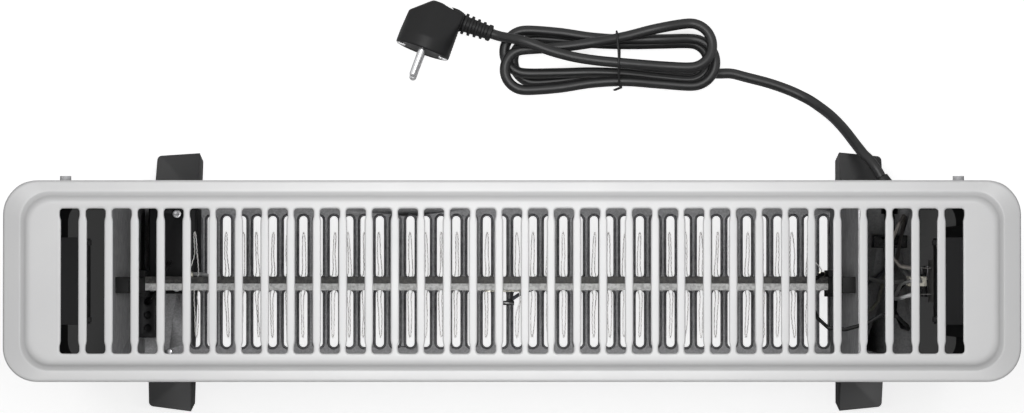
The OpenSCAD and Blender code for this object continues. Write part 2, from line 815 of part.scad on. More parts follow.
block_y = -21.5;
block_size = [11, 29, 40];
block_z = plate_top + 10;
block_peg_d = 4;
block_peg_zs = [block_z + 10, block_z + 30];

module terminal_block() {
  color("#1c1c1e") {
    difference() {
      box([-left_shield_x, block_y - block_size[1] / 2, block_z],
        [-left_shield_x + block_size[0], block_y + block_size[1] / 2, block_z + block_size[2]]);
      for (i = [-1:1]) translate([-left_shield_x + 6, block_y + i * 8.5, block_z + block_size[2] - 8])
        cylinder(d = 5, h = 9);
    }
    for (z = block_peg_zs) translate([-left_shield_x - sheet - 1, block_y, z]) rotate([0, 90, 0])
      cylinder(d = block_peg_d, h = sheet + 1 + eps);
  }
}

// Thermostat and knob

thermostat_deep = 20;
thermostat_x = control_in - thermostat_deep;
bush_nose = 3.6;
nut_t = 2.4;
knob_back = control_x + 0.8;
knob_cavity = 5;
tab_len = 7;

module thermostat() {
  color("#b8b4a8") difference() {
    union() {
      box([thermostat_x, -13, knob_z - 17], [control_in, 13, knob_z + 17]);
      translate([control_in - eps, 0, knob_z]) rotate([0, 90, 0])
        cylinder(d = nozzle_d, h = cap_t + bush_nose + eps);
      for (y = [-8, 8])
        box([thermostat_x - tab_len, y - 0.4, knob_z - 3], [thermostat_x + eps, y + 0.4, knob_z + 3]);
    }
    translate([control_in - 12, 0, knob_z]) rotate([0, 90, 0])
      cylinder(d = spindle_d + 2 * run_fit, h = 40);
  }
}

module thermostat_nut() {
  color(steel_bare) translate([control_x, 0, knob_z]) rotate([0, 90, 0]) difference() {
    cylinder(d = 16, h = nut_t, $fn = 6);
    translate([0, 0, -1]) cylinder(d = nozzle_d + 0.1, h = nut_t + 2);
  }
}

module thermostat_spindle() {
  color(steel_bare) translate([control_in - 11.7, 0, knob_z]) rotate([0, 90, 0])
    cylinder(d = spindle_d, h = knob_back + 11 - control_in + 11.7);
}

module thermostat_knob() {
  grip_d = knob_d * 0.74;
  flutes = 18;
  color(plastic_black) translate([knob_back, 0, knob_z]) rotate([0, 90, 0]) difference() {
    union() {
      cylinder(d = knob_d, h = 3);
      cylinder(d = grip_d, h = knob_h);
    }
    translate([0, 0, -1]) cylinder(d = 20, h = knob_cavity + 1);
    translate([0, 0, -1]) cylinder(d = spindle_d + 0.04, h = 12.2);
    for (i = [0:flutes - 1]) rotate([0, 0, (i + 0.5) * 360 / flutes])
      translate([grip_d / 2 + 0.9, 0, 3.4]) cylinder(d = 3.4, h = knob_h);
    translate([-knob_d / 2 - 1, -0.7, 2.2]) cube([knob_d / 2 - grip_d / 2 + 0.4, 1.4, 2]);
    translate([-grip_d / 2 - 1, -0.7, knob_h - 0.8]) cube([grip_d / 2 - 2, 1.4, 2]);
  }
}

// Rocker switches

flange_t = 1.6;
switch_body = 1.4;
cavity_wall = 3.4;
rocker_clear = 0.3;
rocker_x = control_x - 2.5;
rocker_r = switch_h / 2 - cavity_wall - rocker_clear;
rocker_half = switch_w / 2 - cavity_wall - rocker_clear;
rocker_pin_d = 3;
switch_deep = 20;

module switch_housing(z) {
  wy = switch_w / 2;
  wz = switch_h / 2;
  color(plastic_black) difference() {
    union() {
      box([control_x, -wy, z - wz], [control_x + flange_t, wy, z + wz]);
      box([control_x - switch_deep, -wy + switch_body, z - wz + switch_body],
        [control_x + eps, wy - switch_body, z + wz - switch_body]);
    }
    box([control_x - 15, -wy + cavity_wall, z - wz + cavity_wall],
      [control_x + flange_t + 1, wy - cavity_wall, z + wz - cavity_wall]);
    translate([rocker_x, -wy + switch_body + 0.3, z]) rotate([-90, 0, 0])
      cylinder(d = rocker_pin_d + 2 * run_fit, h = switch_w - 2 * switch_body - 0.6);
  }
}

module rocker(z) {
  face = 3.4;
  lip = 6.6;
  keel = 5;
  r = rocker_r;
  color("#1d1d1f") translate([rocker_x, 0, z]) rotate([0, rocker_tilt, 0]) {
    rotate([90, 0, 0]) translate([0, 0, -rocker_half]) linear_extrude(2 * rocker_half) intersection() {
      circle(r);
      polygon([[face, 0], [lip, r], [0, r], [-keel, 4], [-keel, -4], [0, -r], [lip, -r]]);
    }
    for (side = [-1, 1]) rotate([side * 90, 0, 0])
      cylinder(d = rocker_pin_d, h = switch_w / 2 - switch_body - 0.6);
  }
}

module upper_switch_housing() { switch_housing(switch_zs[0]); }
module lower_switch_housing() { switch_housing(switch_zs[1]); }
module upper_rocker() { rocker(switch_zs[0]); }
module lower_rocker() { rocker(switch_zs[1]); }

module switch_terminals() {
  x = control_x - switch_deep;
  color(brass) for (z = switch_zs, k = [-1, 1])
    box([x - tab_len, -3.1, z + k * 7 - 0.4], [x, 3.1, z + k * 7 + 0.4]);
}

module pilot_lamp() {
  color([0.85, 0.25, 0.12, 0.8]) translate([control_x, 0, lamp_z]) rotate([0, 90, 0]) {
    cylinder(d = lamp_d, h = 1.8);
    translate([0, 0, -cap_t - 12]) cylinder(d = lamp_d - 2.2, h = cap_t + 12 + eps);
  }
}

// Cord bushing, clamp and inner wiring

bush_d = 11;
bush_out = [-sin(bush_turn), cos(bush_turn), 0];
bush_bend = [cord_x, panel_y + 1.6, cord_z];
cord_exit = bush_bend + (bush_len + 1) * bush_out;
inside_end_y = 14;
clamp_y = 26;

module cord_bushing() {
  bore = cord_d + 0.3;
  color(plastic_black) difference() {
    union() {
      translate([cord_x, panel_y, cord_z]) rotate([-90, 0, 0]) cylinder(d = bush_d + 4, h = 1.6);
      translate([cord_x, panel_in - 12, cord_z]) rotate([-90, 0, 0])
        cylinder(d = bush_d, h = sheet + 12 + eps);
      intersection() {
        union() {
          translate(bush_bend) sphere(d = bush_d + 1);
          translate(bush_bend) rotate([-90, 0, bush_turn])
            cylinder(d1 = bush_d + 1, d2 = cord_d + 2, h = bush_len + 1);
        }
        box([cord_x - 40, panel_y + 1, cord_z - bush_d], [cord_x + 40, panel_y + 40, cord_z + bush_d]);
      }
    }
    translate([cord_x, panel_in - 20, cord_z]) rotate([-90, 0, 0])
      cylinder(d = bore, h = bush_bend[1] - panel_in + 20);
    translate(bush_bend) sphere(d = bore + 0.4);
    translate(bush_bend) rotate([-90, 0, bush_turn]) cylinder(d = bore, h = bush_len + 2);
  }
}

module cord_inside() {
  color(cord_black)
    tube([cord_exit, bush_bend, [cord_x, panel_in - 16, cord_z], [cord_x, inside_end_y, cord_z]],
      cord_d, 10, -bush_out, [0, -1, 0]);
}

clamp_points = [for (side = [-1, 1]) [cord_x + side * 7.5, clamp_y]];

module cord_clamp() {
  color(plastic_black) difference() {
    box([cord_x - 11, clamp_y - 4, plate_top], [cord_x + 11, clamp_y + 4, cord_z + 6]);
    translate([cord_x, clamp_y - 5, cord_z]) rotate([-90, 0, 0]) cylinder(d = cord_d + 0.1, h = 10);
    for (p = clamp_points) translate([p[0], p[1], plate_top - 1]) cylinder(d = small_screw_d + 0.1, h = 40);
  }
}

module clamp_screws() {
  color(steel_bare) for (p = clamp_points) translate([p[0], p[1], cord_z + 6])
    mirror([0, 0, 1]) pan_screw(small_screw_d, 5.6, 2, cord_z + 6 - plate_z);
}

plate_fixings = concat(shield_screw_points, lug_points, clamp_points);

lead_d = 2.4;
core_y = inside_end_y;
core_z = cord_z + 1.6;
switch_tab_x = control_x - switch_deep - tab_len;
thermostat_tab_x = thermostat_x - tab_len;
rear_lead_y = rear_terminal_y - 1.4;

module lead(path, start, finish) {
  tube(path, lead_d, 8, start, finish);
}

module live_wire() {
  color("#6b4a35") lead([
    [cord_x + 1.7, core_y, core_z], [cord_x + 1.7, core_y - 3, core_z], [cord_x + 2.4, 8, core_z + 3],
    [cord_x + 3, 7, core_z + 10], [cord_x + 1.5, 12, core_z + 34], [cord_x - 1, 28, core_z + 94],
    [cord_x - 4, 39, knob_z - 30], [cord_x - 6, 40, knob_z - 10], [cord_x - 10, 35, knob_z + 4],
    [cord_x - 15, 25, knob_z + 9], [cord_x - 15, 15, knob_z + 7], [cord_x - 9, 9, knob_z + 2],
    [thermostat_tab_x - 4, 8, knob_z], [thermostat_tab_x, 8, knob_z]], [0, -1, 0], [1, 0, 0]);
}

module neutral_wire() {
  y = element_y - 2.4;
  cy = cutout_y - cutout_t / 2;
  color("#3f5f86") lead([
    [cord_x - 1.7, core_y, core_z], [cord_x - 1.7, core_y - 3, core_z], [cord_x - 4, 7, core_z + 3],
    [cord_x - 9, 3, core_z + 12], [cord_x - 18, -2, lead_z - 8], [cord_x - 27, y, lead_z],
    [right_shield_x - 12, y, lead_z], [cutout_x + 40, y, lead_z], [cutout_x + 18, y - 0.8, lead_z],
    [cutout_x + 8, cy + 5, lead_z + 1], [cutout_x + 2, cy + 1, lead_z + 5], [cutout_x, cy, cutout_low - 6],
    [cutout_x, cy, cutout_low]], [0, -1, 0], [0, 0, 1]);
}

earth_x = cord_x - 20;
earth_y = -20;
tag_t = 0.8;

module earth_wire() {
  z0 = cord_z - 1.8;
  rivet_z = plate_top + tag_t + 1.4;
  color("#7f8f3a") lead([
    [cord_x, core_y, z0], [cord_x, core_y - 3, z0], [cord_x - 2, 5, z0], [cord_x - 5, -4, z0 - 1],
    [earth_x + 13, -13, z0 - 4], [earth_x + 9, earth_y + 2, rivet_z], [earth_x + 6, earth_y, rivet_z],
    [earth_x + 3.1, earth_y, rivet_z]], [0, -1, 0], [-1, 0, 0]);
}

module earth_tag() {
  color(brass) translate([earth_x, earth_y, plate_top]) {
    cylinder(d = 8, h = tag_t);
    translate([-3.1, -3.1, 0]) cube([6.2, 6.2, tag_t + 2.8]);
  }
}

module switch_wire() {
  z = switch_zs[0] + 7;
  color("#8c8c8c") lead([
    [thermostat_tab_x, -8, knob_z], [thermostat_tab_x - 4, -8, knob_z],
    [thermostat_tab_x - 10, -10, knob_z - 6],
    [thermostat_tab_x - 13, -11, knob_z - 20], [switch_tab_x - 13, -8, z + 16], [switch_tab_x - 9, -2, z + 4],
    [switch_tab_x - 4, 0, z], [switch_tab_x, 0, z]], [-1, 0, 0], [1, 0, 0]);
}

module switch_link() {
  x = switch_tab_x + 3.5;
  high = switch_zs[0] + 7.4;
  low = switch_zs[1] - 7.4;
  color("#8c8c8c") lead([
    [x, 0, high], [x, 0, high + 2.6], [x - 2, 3, high + 5], [x - 6, 7, high + 3], [x - 8, 9, high - 4],
    [x - 9, 10, (high + low) / 2], [x - 8, 9, low + 4], [x - 6, 7, low - 3], [x - 2, 3, low - 5],
    [x, 0, low - 2.6], [x, 0, low]], [0, 0, 1], [0, 0, 1]);
}

// From the upper switch over the right heat shield and down to the element
module element_lead_right() {
  x = rear_terminal_xs[1];
  z = switch_zs[0] - 7;
  over = shield_top + 2;
  x1 = right_shield_x;
  color("#1b1b1b") lead([
    [switch_tab_x, 0, z], [switch_tab_x - 4, 0, z], [switch_tab_x - 10, -6, z + 3],
    [switch_tab_x - 13, -18, z + 20], [x1 + 32, -28, over - 70], [x1 + 32, -29, over - 25],
    [x1 + 30, -27, over - 8], [x1 + 23, -21, over - 1], [x1 + 14, -20, over], [x1 + 5, -25.5, over],
    [x1 - 8, -29, over], [x1 - 18, -28, over - 3], [x1 - 24, -22, over - 12], [x1 - 26, -14, over - 32],
    [x1 - 24, -6, over - 70], [x1 - 20, 0, over - 105], [x1 - 15, 3, element_z + 30],
    [x - 0.6, rear_lead_y, element_z + 19], [x, rear_lead_y, element_z + 12],
    [x, rear_lead_y, element_z + terminal_h / 2]], [-1, 0, 0], [0, 0, -1]);
}

module element_lead_left() {
  x = rear_terminal_xs[0];
  z = switch_zs[1] + 7;
  y = element_y + 2.4;
  color("#b9b9b9") lead([
    [switch_tab_x, 0, z], [switch_tab_x - 4, 0, z], [switch_tab_x - 12, -1, z - 8],
    [switch_tab_x - 20, 1, lead_z + 16], [cord_x - 24, 4, lead_z + 3], [cord_x - 32, y, lead_z],
    [right_shield_x - 8, y, lead_z], [100, y, lead_z], [0, y, lead_z], [-100, y, lead_z],
    [x + 18, y, lead_z], [x + 7, rear_lead_y, lead_z + 1.2], [x + 1.8, rear_lead_y, lead_z + 5],
    [x, rear_lead_y, lead_z + 11], [x, rear_lead_y, element_z - terminal_h / 2]], [-1, 0, 0], [0, 0, 1]);
}

// From the terminal block to the top of the tip-over switch
module tilt_lead() {
  z = block_z + block_size[2] - 8;
  x = -left_shield_x + 6;
  x1 = tilt_low[0] + 14;
  color("#1b1b1b") lead([
    [x, block_y + 8.5, z], [x, block_y + 8.5, z + 8], [x + 2.5, block_y + 10, z + 11.5],
    [x + 6, -6, z + 13.5],
    [x + 10, 2, z + 14.5], [x1 - 1, 9, z + 13], [x1, 11.6, z + 9.5], [x1, 12, z + 7],
    [x1, 12, tilt_top]], [0, 0, 1], [0, 0, -1]);
}

// Mains cord: the free run from the bushing to the hank

cord_r = cord_d / 2;
layer_step = cord_d + 0.8;
hank_at = [cord_x - 178, 149.4];
hank_half = 51;
hank_waist = 0.8;
hank_sag = 2.8;
hank_lift = 1.7;
tie_at = 3;
hank_entry = [hank_at[0] + 71, 138.4, cord_r];
run_points = [
  [-12.5, 79.1, 61], [-16.4, 83.3, 57.4], [-19.4, 87.7, 52.1], [-22.5, 92.6, 45.2], [-25.8, 97.9, 37.9],
  [-29, 102.5, 31], [-32.6, 107.1, 24.2], [-36.5, 111.3, 17.4], [-41.8, 115.9, 10.6], [-48, 120.5, 6.1],
  [-55, 124.3, 3.9], [-61.6, 127.3, cord_r], [-74.7, 131.9, cord_r], [-89.6, 135.8, cord_r]
];
run_path = concat([cord_exit, cord_exit + 7 * bush_out - [0, 0, 0.8]],
  [for (p = run_points) p + [cord_x, 0, 0]], [hank_entry + [cord_d, 0, 0], hank_entry]);

module cord_run() {
  color(cord_black) tube(run_path, cord_d, 10, bush_out, [-1, 0, 0]);
  echo(cord_run_length = path_length(run_path));
}

// The hank: three loose turns, each a layer above the last one, which climb on their way to the right

function smooth(t) = let (c = max(0, min(1, t))) c * c * (3 - 2 * c);
function bezier(a, b, c, d, t) =
  pow(1 - t, 3) * a + 3 * pow(1 - t, 2) * t * b + 3 * (1 - t) * t * t * c + t * t * t * d;

// Every lobe, left and right in turn: its middle from the middle of the hank, its radius and its layer
hank_lobes = [
  [-52.5, -2.4, 14.6, 0], [50, -3.4, 12.2, 1], [-58.9, 3, 14.2, 1],
  [51, -4.2, 15.6, 2], [-59.4, -9.2, 13.4, 2], [49.7, 6.6, 14.6, 3]
];
lobe_steps = 10;
last_lobe = len(hank_lobes) - 1;

// A point at angle a round lobe j, from its lower side on an even j and from its upper side on an odd one
function lobe_point(j, a) = let (c = hank_lobes[j], side = j % 2 == 0 ? -1 : 1)
  [c[0] + side * c[2] * sin(a), c[1] + side * c[2] * cos(a), c[3]];
function hank_rise(x) = smooth((x + 18) / 46);
function hank_run(p, q, steps) = [for (i = [1:steps - 1])
  let (t = i / steps, x = p[0] + (q[0] - p[0]) * t)
  [x, p[1] + (q[1] - p[1]) * smooth(t), p[2] + (q[2] - p[2]) * hank_rise(x)]];
function hank_width(x) = 1 - (1 - hank_waist) * pow(1 - pow(max(-1, min(1, (x + 1) / hank_half)), 2), 2);
// From its layer to its place: drawn in at the tie and lifted over it, and let down over the entry
function hank_place(p) = [hank_at[0] + p[0], hank_at[1] + p[1] * hank_width(p[0]), cord_r + layer_step * p[2]
  + hank_lift * exp(-pow((p[0] - tie_at) / 24, 2))
  - (p[2] > 0 ? hank_sag * smooth((p[0] - 24) / 26) * smooth((p[1] + 10) / 22) : 0)];

hank_in = [hank_entry[0] - hank_at[0] - cord_d, hank_entry[1] - hank_at[1], 0];
hank_last = lobe_point(last_lobe, 180);
hank_off = [-58, 8.6, 3];
hank_off_dir = [-0.93, 0.367, 0];
hank_flat = concat([hank_in + [cord_d, 0, 0], hank_in], hank_run(hank_in, lobe_point(0, 0), 7),
  [for (j = [0:last_lobe]) each concat(
    [for (i = [0:lobe_steps]) lobe_point(j, 180 * i / lobe_steps)],
    j < last_lobe ? hank_run(lobe_point(j, 180), lobe_point(j + 1, 0), 5) : [])],
  [for (t = [0.14, 0.28, 0.42, 0.56, 0.7, 0.85, 1])
    bezier(hank_last, hank_last - [42, 0, 0], hank_off - 40 * hank_off_dir, hank_off, t)]);
hank_path = [for (p = hank_flat) hank_place(p)];
hank_out = let (n = len(hank_path), d = hank_path[n - 1] - hank_path[n - 2]) unit([d[0], d[1], 0]);

module cord_hank() {
  echo(least_gap_in_hank = self_gap(hank_path, cord_d, 8), hank_length = path_length(hank_path));
  color(cord_black) tube(hank_path, cord_d, 6, [-1, 0, 0], hank_out);
}

module cord_tie() {
  w = 2.4;
  t = 1.1;
  slack = 0.7;
  floor_z = 0.1;
  x = hank_at[0] + tie_at;
  low = hank_at[1] - 17 - cord_r - slack;
  high = hank_at[1] + 12.1 + cord_r + slack;
  top = cord_d + 3 * layer_step + hank_lift + slack;
  color("#2b2b2d") translate([x - w / 2, 0, 0]) rotate([90, 0, 90]) linear_extrude(w) difference() {
    translate([low - t, floor_z]) square([high - low + 2 * t, top + t - floor_z]);
    translate([low, floor_z + t]) square([high - low, top - floor_z - t]);
  }
}

// Plug, in its own frame: +X towards the cord, +Y away from the pins

plug_at = [cord_x - 305.8, 152.1, 19.3];
plug_turn = -20;
plug_lean = -4.6;
sleeve_y = 27.3;
sleeve_x = 39.5;
sleeve_r = 5.5;

function plug_point(v) =
  let (y = v[1] * cos(plug_lean) - v[2] * sin(plug_lean), z = v[1] * sin(plug_lean) + v[2] * cos(plug_lean))
  plug_at + [v[0] * cos(plug_turn) - y * sin(plug_turn), v[0] * sin(plug_turn) + y * cos(plug_turn), z];

module in_plug_frame() {
  translate(plug_at) rotate([0, 0, plug_turn]) rotate([plug_lean, 0, 0]) children();
}

module plug_body() {
  r = plug_d / 2;
  color(plastic_black) in_plug_frame() difference() {
    union() {
      rotate([-90, 0, 0]) cylinder(d = plug_d, h = 9);
      hull($fn = hull_fn) {
        translate([0, 6, 0]) rotate([-90, 0, 0]) cylinder(r = r - 0.3, h = 3);
        translate([-r + 4, 23, 0]) rotate([-90, 0, 0]) scale([1, 1.4, 1]) cylinder(r = 3, h = 2);
        translate([-2, 31, 0]) rotate([-90, 0, 0]) scale([1, 2.4, 1]) cylinder(r = 4, h = 3.5);
        translate([14, sleeve_y, 0]) rotate([0, 90, 0]) cylinder(r = 7.6, h = 4);
      }
      translate([16, sleeve_y, 0]) rotate([0, 90, 0])
        cylinder(r1 = 7, r2 = sleeve_r - 0.8, h = sleeve_x - 16);
      for (i = [0:4]) translate([20.4 + i * 4.2, sleeve_y, 0]) rotate([0, 90, 0])
        cylinder(r = 7.2 - i * 0.42, h = 2.3);
    }
    for (side = [-1, 1]) {
      translate([0, -1, side * pin_pitch / 2]) rotate([-90, 0, 0]) cylinder(d = pin_d - 0.7, h = 8);
      box([side * (r - 2) - 1.3, -1, -3.2], [side * (r - 2) + 1.3, 14, 3.2]);
    }
    translate([sleeve_x - 6, sleeve_y, 0]) rotate([0, 90, 0]) cylinder(d = cord_d + 0.2, h = 8);
  }
}

module plug_pins() {
  color("#c8c9cb") in_plug_frame() for (side = [-1, 1])
    translate([0, 0, side * pin_pitch / 2]) rotate([90, 0, 0]) {
      translate([0, 0, -6]) cylinder(d = pin_d - 0.8, h = 6 + eps);
      cylinder(d = pin_d, h = pin_len - 1);
      translate([0, 0, pin_len - 1]) cylinder(d1 = pin_d, d2 = pin_d - 1.8, h = 1);
    }
}

module plug_earth_clips() {
  r = plug_d / 2;
  color("#c8c9cb") in_plug_frame() for (side = [-1, 1])
    box([side * (r - 2) - 0.6, 0.2, -2.9], [side * (r - 2) + 0.6, 13.9, 2.9]);
}

tail_start = hank_path[len(hank_path) - 1];
tail_end = plug_point([sleeve_x - 5.8, sleeve_y, 0]);
tail_mouth = plug_point([sleeve_x + 1, sleeve_y, 0]);
tail_in = unit(tail_end - tail_mouth);
tail_path = concat([tail_start], [for (t = [0.2, 0.4, 0.6, 0.8])
  bezier(tail_start, tail_start + 9 * hank_out, tail_mouth - 8 * tail_in, tail_mouth, t)],
  [tail_mouth, tail_end]);

module cord_tail() {
  color(cord_black) tube(tail_path, cord_d, 10, hank_out, tail_in);
  echo(cord_tail_length = path_length(tail_path));
}

top_cover();
front_panel();
rear_panel();
bottom_plate();
left_end_cap();
right_end_cap();
left_foot();
right_foot();
foot_screws();
rear_screws();
bottom_screws();
plate_screws();
wall_spacers();
left_heat_shield();
right_heat_shield();
element_board();
element_strip();
left_heating_wire();
right_heating_wire();
element_holders();
element_terminals();
thermal_cutout();
tilt_switch();
tilt_switch_screws();
terminal_block();
thermostat();
thermostat_nut();
thermostat_spindle();
thermostat_knob();
upper_switch_housing();
upper_rocker();
lower_switch_housing();
lower_rocker();
switch_terminals();
pilot_lamp();
cord_bushing();
cord_clamp();
clamp_screws();
cord_inside();
live_wire();
neutral_wire();
earth_wire();
earth_tag();
switch_wire();
switch_link();
element_lead_right();
element_lead_left();
tilt_lead();
cord_run();
cord_hank();
cord_tie();
cord_tail();
plug_body();
plug_pins();
plug_earth_clips();
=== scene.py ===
"""Visual model of a convector heater, built round its CAD frame, in metres."""

from __future__ import annotations

import json
import logging
import math
from dataclasses import dataclass
from enum import Enum
from typing import Any, Iterable, Sequence

import bmesh
import bpy
import numpy as np
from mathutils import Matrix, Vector

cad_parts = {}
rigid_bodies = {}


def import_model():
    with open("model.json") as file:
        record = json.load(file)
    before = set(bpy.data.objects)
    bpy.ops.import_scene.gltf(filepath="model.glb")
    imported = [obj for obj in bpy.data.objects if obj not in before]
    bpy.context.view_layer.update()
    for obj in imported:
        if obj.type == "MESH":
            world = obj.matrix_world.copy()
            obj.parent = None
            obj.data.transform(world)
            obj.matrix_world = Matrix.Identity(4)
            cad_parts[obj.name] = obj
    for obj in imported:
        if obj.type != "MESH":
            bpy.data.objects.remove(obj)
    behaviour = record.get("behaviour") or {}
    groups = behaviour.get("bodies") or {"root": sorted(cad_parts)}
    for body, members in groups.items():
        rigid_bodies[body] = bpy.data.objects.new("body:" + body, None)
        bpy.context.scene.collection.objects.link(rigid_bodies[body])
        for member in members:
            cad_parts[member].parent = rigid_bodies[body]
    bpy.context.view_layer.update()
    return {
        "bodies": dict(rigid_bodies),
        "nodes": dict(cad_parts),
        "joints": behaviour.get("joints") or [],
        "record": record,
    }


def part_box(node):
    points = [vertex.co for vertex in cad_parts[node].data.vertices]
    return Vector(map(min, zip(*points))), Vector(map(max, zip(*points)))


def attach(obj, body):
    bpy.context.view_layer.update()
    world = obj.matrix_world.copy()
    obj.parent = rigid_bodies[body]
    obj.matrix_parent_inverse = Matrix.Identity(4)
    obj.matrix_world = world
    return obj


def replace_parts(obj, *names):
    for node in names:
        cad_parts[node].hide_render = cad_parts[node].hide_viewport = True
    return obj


Point = tuple[float, float, float]
LOG = logging.getLogger("heater")
MM = 0.001
BODY = "heater"


# Shader groups


class Effect(Enum):
    """Shared shader effects. Each is one node group that gives values or normals only."""

    MOTTLE = "mottle"
    GRAIN = "grain"
    SPANGLE = "spangle"
    ROUNDED = "rounded_edges"
    LIP = "edge_mask"
    # Painted light: mask for a lighter colour on level faces low down.
    DUST = "settled_dust"


class Net:
    """A shader node tree, with short ways to add nodes and to join them."""

    def __init__(self, tree: bpy.types.NodeTree) -> None:
        """Takes the tree that it works on."""
        self.tree = tree

    def node(self, kind: str, inputs: dict[str | int, Any] | None = None, **settings: Any) -> bpy.types.Node:
        """Adds a node.

        Args:
            kind: Its type, without the leading ShaderNode.
            inputs: Values of its input sockets, by name or number.
            **settings: Values of its own settings, which are set first.

        Returns:
            The new node.
        """
        node = self.tree.nodes.new("ShaderNode" + kind)
        for name, value in settings.items():
            setattr(node, name, value)
        for name, value in (inputs or {}).items():
            node.inputs[name].default_value = value
        return node

    def group(self, effect: Effect, **inputs: float) -> bpy.types.Node:
        """Adds a shared effect, with values for its sockets."""
        return self.node("Group", inputs, node_tree=GROUPS.get(effect))

    def join(self, *wires: tuple[bpy.types.Node, str | int, bpy.types.Node, str | int]) -> None:
        """Links nodes.

        Args:
            *wires: Each link as a node, its output, the next node and its input.
        """
        for source, output, target, into in wires:
            self.tree.links.new(source.outputs[output], target.inputs[into])


class EffectGroups:
    """Builds each shared node group once and hands it out."""

    def __init__(self) -> None:
        """Starts with none made."""
        self._made: dict[Effect, bpy.types.NodeTree] = {}

    def get(self, effect: Effect) -> bpy.types.NodeTree:
        """Gives the node group of an effect.

        Args:
            effect: The effect wanted.

        Returns:
            The node tree, made at the first call.
        """
        if effect not in self._made:
            makers = {Effect.MOTTLE: self._mottle, Effect.GRAIN: self._grain, Effect.SPANGLE: self._spangle,
                      Effect.ROUNDED: self._rounded, Effect.LIP: self._lip, Effect.DUST: self._floor_light_mask}
            self._made[effect] = makers[effect]()
        return self._made[effect]

    @staticmethod
    def _start(effect: Effect, inputs: dict[str, float], output: str,
               kind: str = "NodeSocketFloat") -> tuple[Net, bpy.types.Node, bpy.types.Node]:
        """Starts a group with named sockets.

        Args:
            effect: The effect, which names the group.
            inputs: Input names with their default values.
            output: Name of its one output.
            kind: Socket type of the output.

        Returns:
            The empty group, its input node and its output node.
        """
        tree = bpy.data.node_groups.new(effect.value, "ShaderNodeTree")
        for name, value in inputs.items():
            sock = tree.interface.new_socket(name, in_out="INPUT", socket_type="NodeSocketFloat")
            sock.default_value = value
        tree.interface.new_socket(output, in_out="OUTPUT", socket_type=kind)
        return Net(tree), tree.nodes.new("NodeGroupInput"), tree.nodes.new("NodeGroupOutput")

    def _mottle(self) -> bpy.types.NodeTree:
        """Makes soft patches, for colour and roughness.

        Returns:
            The group.
        """
        net, start, end = self._start(Effect.MOTTLE, {"Scale": 30.0, "Contrast": 0.4}, "Mask")
        coord, ramp = net.node("TexCoord"), net.node("MapRange")
        noise = net.node("TexNoise", {"Detail": 5.0, "Roughness": 0.55})
        half = net.node("Math", {1: 0.5}, operation="MULTIPLY")
        low = net.node("Math", {0: 0.5}, operation="SUBTRACT")
        high = net.node("Math", {0: 0.5}, operation="ADD")
        net.join((coord, "Object", noise, "Vector"), (start, "Scale", noise, "Scale"),
                 (start, "Contrast", half, 0), (half, 0, low, 1), (half, 0, high, 1),
                 (low, 0, ramp, "From Min"), (high, 0, ramp, "From Max"), (noise, "Fac", ramp, "Value"),
                 (ramp, "Result", end, "Mask"))
        return net.tree

    def _grain(self) -> bpy.types.NodeTree:
        """Makes a fine surface height of two noises, for moulded and painted faces.

        Returns:
            The group.
        """
        net, start, end = self._start(Effect.GRAIN, {"Scale": 1500.0, "Mix": 0.3}, "Height")
        coord = net.node("TexCoord")
        fine, wide = net.node("TexNoise", {"Detail": 3.0}), net.node("TexNoise", {"Detail": 1.0})
        wider = net.node("Math", {1: 0.18}, operation="MULTIPLY")
        mix = net.node("Mix", data_type="FLOAT")
        net.join((start, "Scale", fine, "Scale"), (start, "Scale", wider, 0), (wider, 0, wide, "Scale"),
                 (coord, "Object", fine, "Vector"), (coord, "Object", wide, "Vector"),
                 (start, "Mix", mix, "Factor"), (fine, "Fac", mix, "A"), (wide, "Fac", mix, "B"),
                 (mix, "Result", end, "Height"))
        return net.tree

    def _spangle(self) -> bpy.types.NodeTree:
        """Makes flat crystals of zinc, a tone for each.

        Returns:
            The group.
        """
        net, start, end = self._start(Effect.SPANGLE, {"Scale": 160.0}, "Mask")
        coord, tone = net.node("TexCoord"), net.node("SeparateColor")
        cells = net.node("TexVoronoi", {"Randomness": 1.0})
        net.join((coord, "Object", cells, "Vector"), (start, "Scale", cells, "Scale"),
                 (cells, "Color", tone, "Color"), (tone, "Red", end, "Mask"))
        return net.tree

    def _rounded(self) -> bpy.types.NodeTree:
        """Makes a normal with softened edges and a fine height on it.

        Returns:
            The group.
        """
        sockets = {"Radius": 0.0004, "Height": 0.5, "Strength": 0.1, "Depth": 0.0001}
        net, start, end = self._start(Effect.ROUNDED, sockets, "Normal", "NodeSocketVector")
        bevel, bump = net.node("Bevel", samples=4), net.node("Bump")
        net.join((start, "Radius", bevel, "Radius"), (bevel, "Normal", bump, "Normal"),
                 (start, "Height", bump, "Height"), (start, "Strength", bump, "Strength"),
                 (start, "Depth", bump, "Distance"), (bump, "Normal", end, "Normal"))
        return net.tree

    def _lip(self) -> bpy.types.NodeTree:
        """Makes a mask of the edges, from 0 on a face to 1 at an edge.

        Returns:
            The group.
        """
        net, start, end = self._start(Effect.LIP, {"Radius": 0.0008}, "Mask")
        bevel, geom = net.node("Bevel", samples=4), net.node("NewGeometry")
        dot = net.node("VectorMath", operation="DOT_PRODUCT")
        ramp = net.node("MapRange", {"From Min": 1.0, "From Max": 0.8})
        net.join((start, "Radius", bevel, "Radius"), (bevel, "Normal", dot, 0), (geom, "Normal", dot, 1),
                 (dot, "Value", ramp, "Value"), (ramp, "Result", end, "Mask"))
        return net.tree

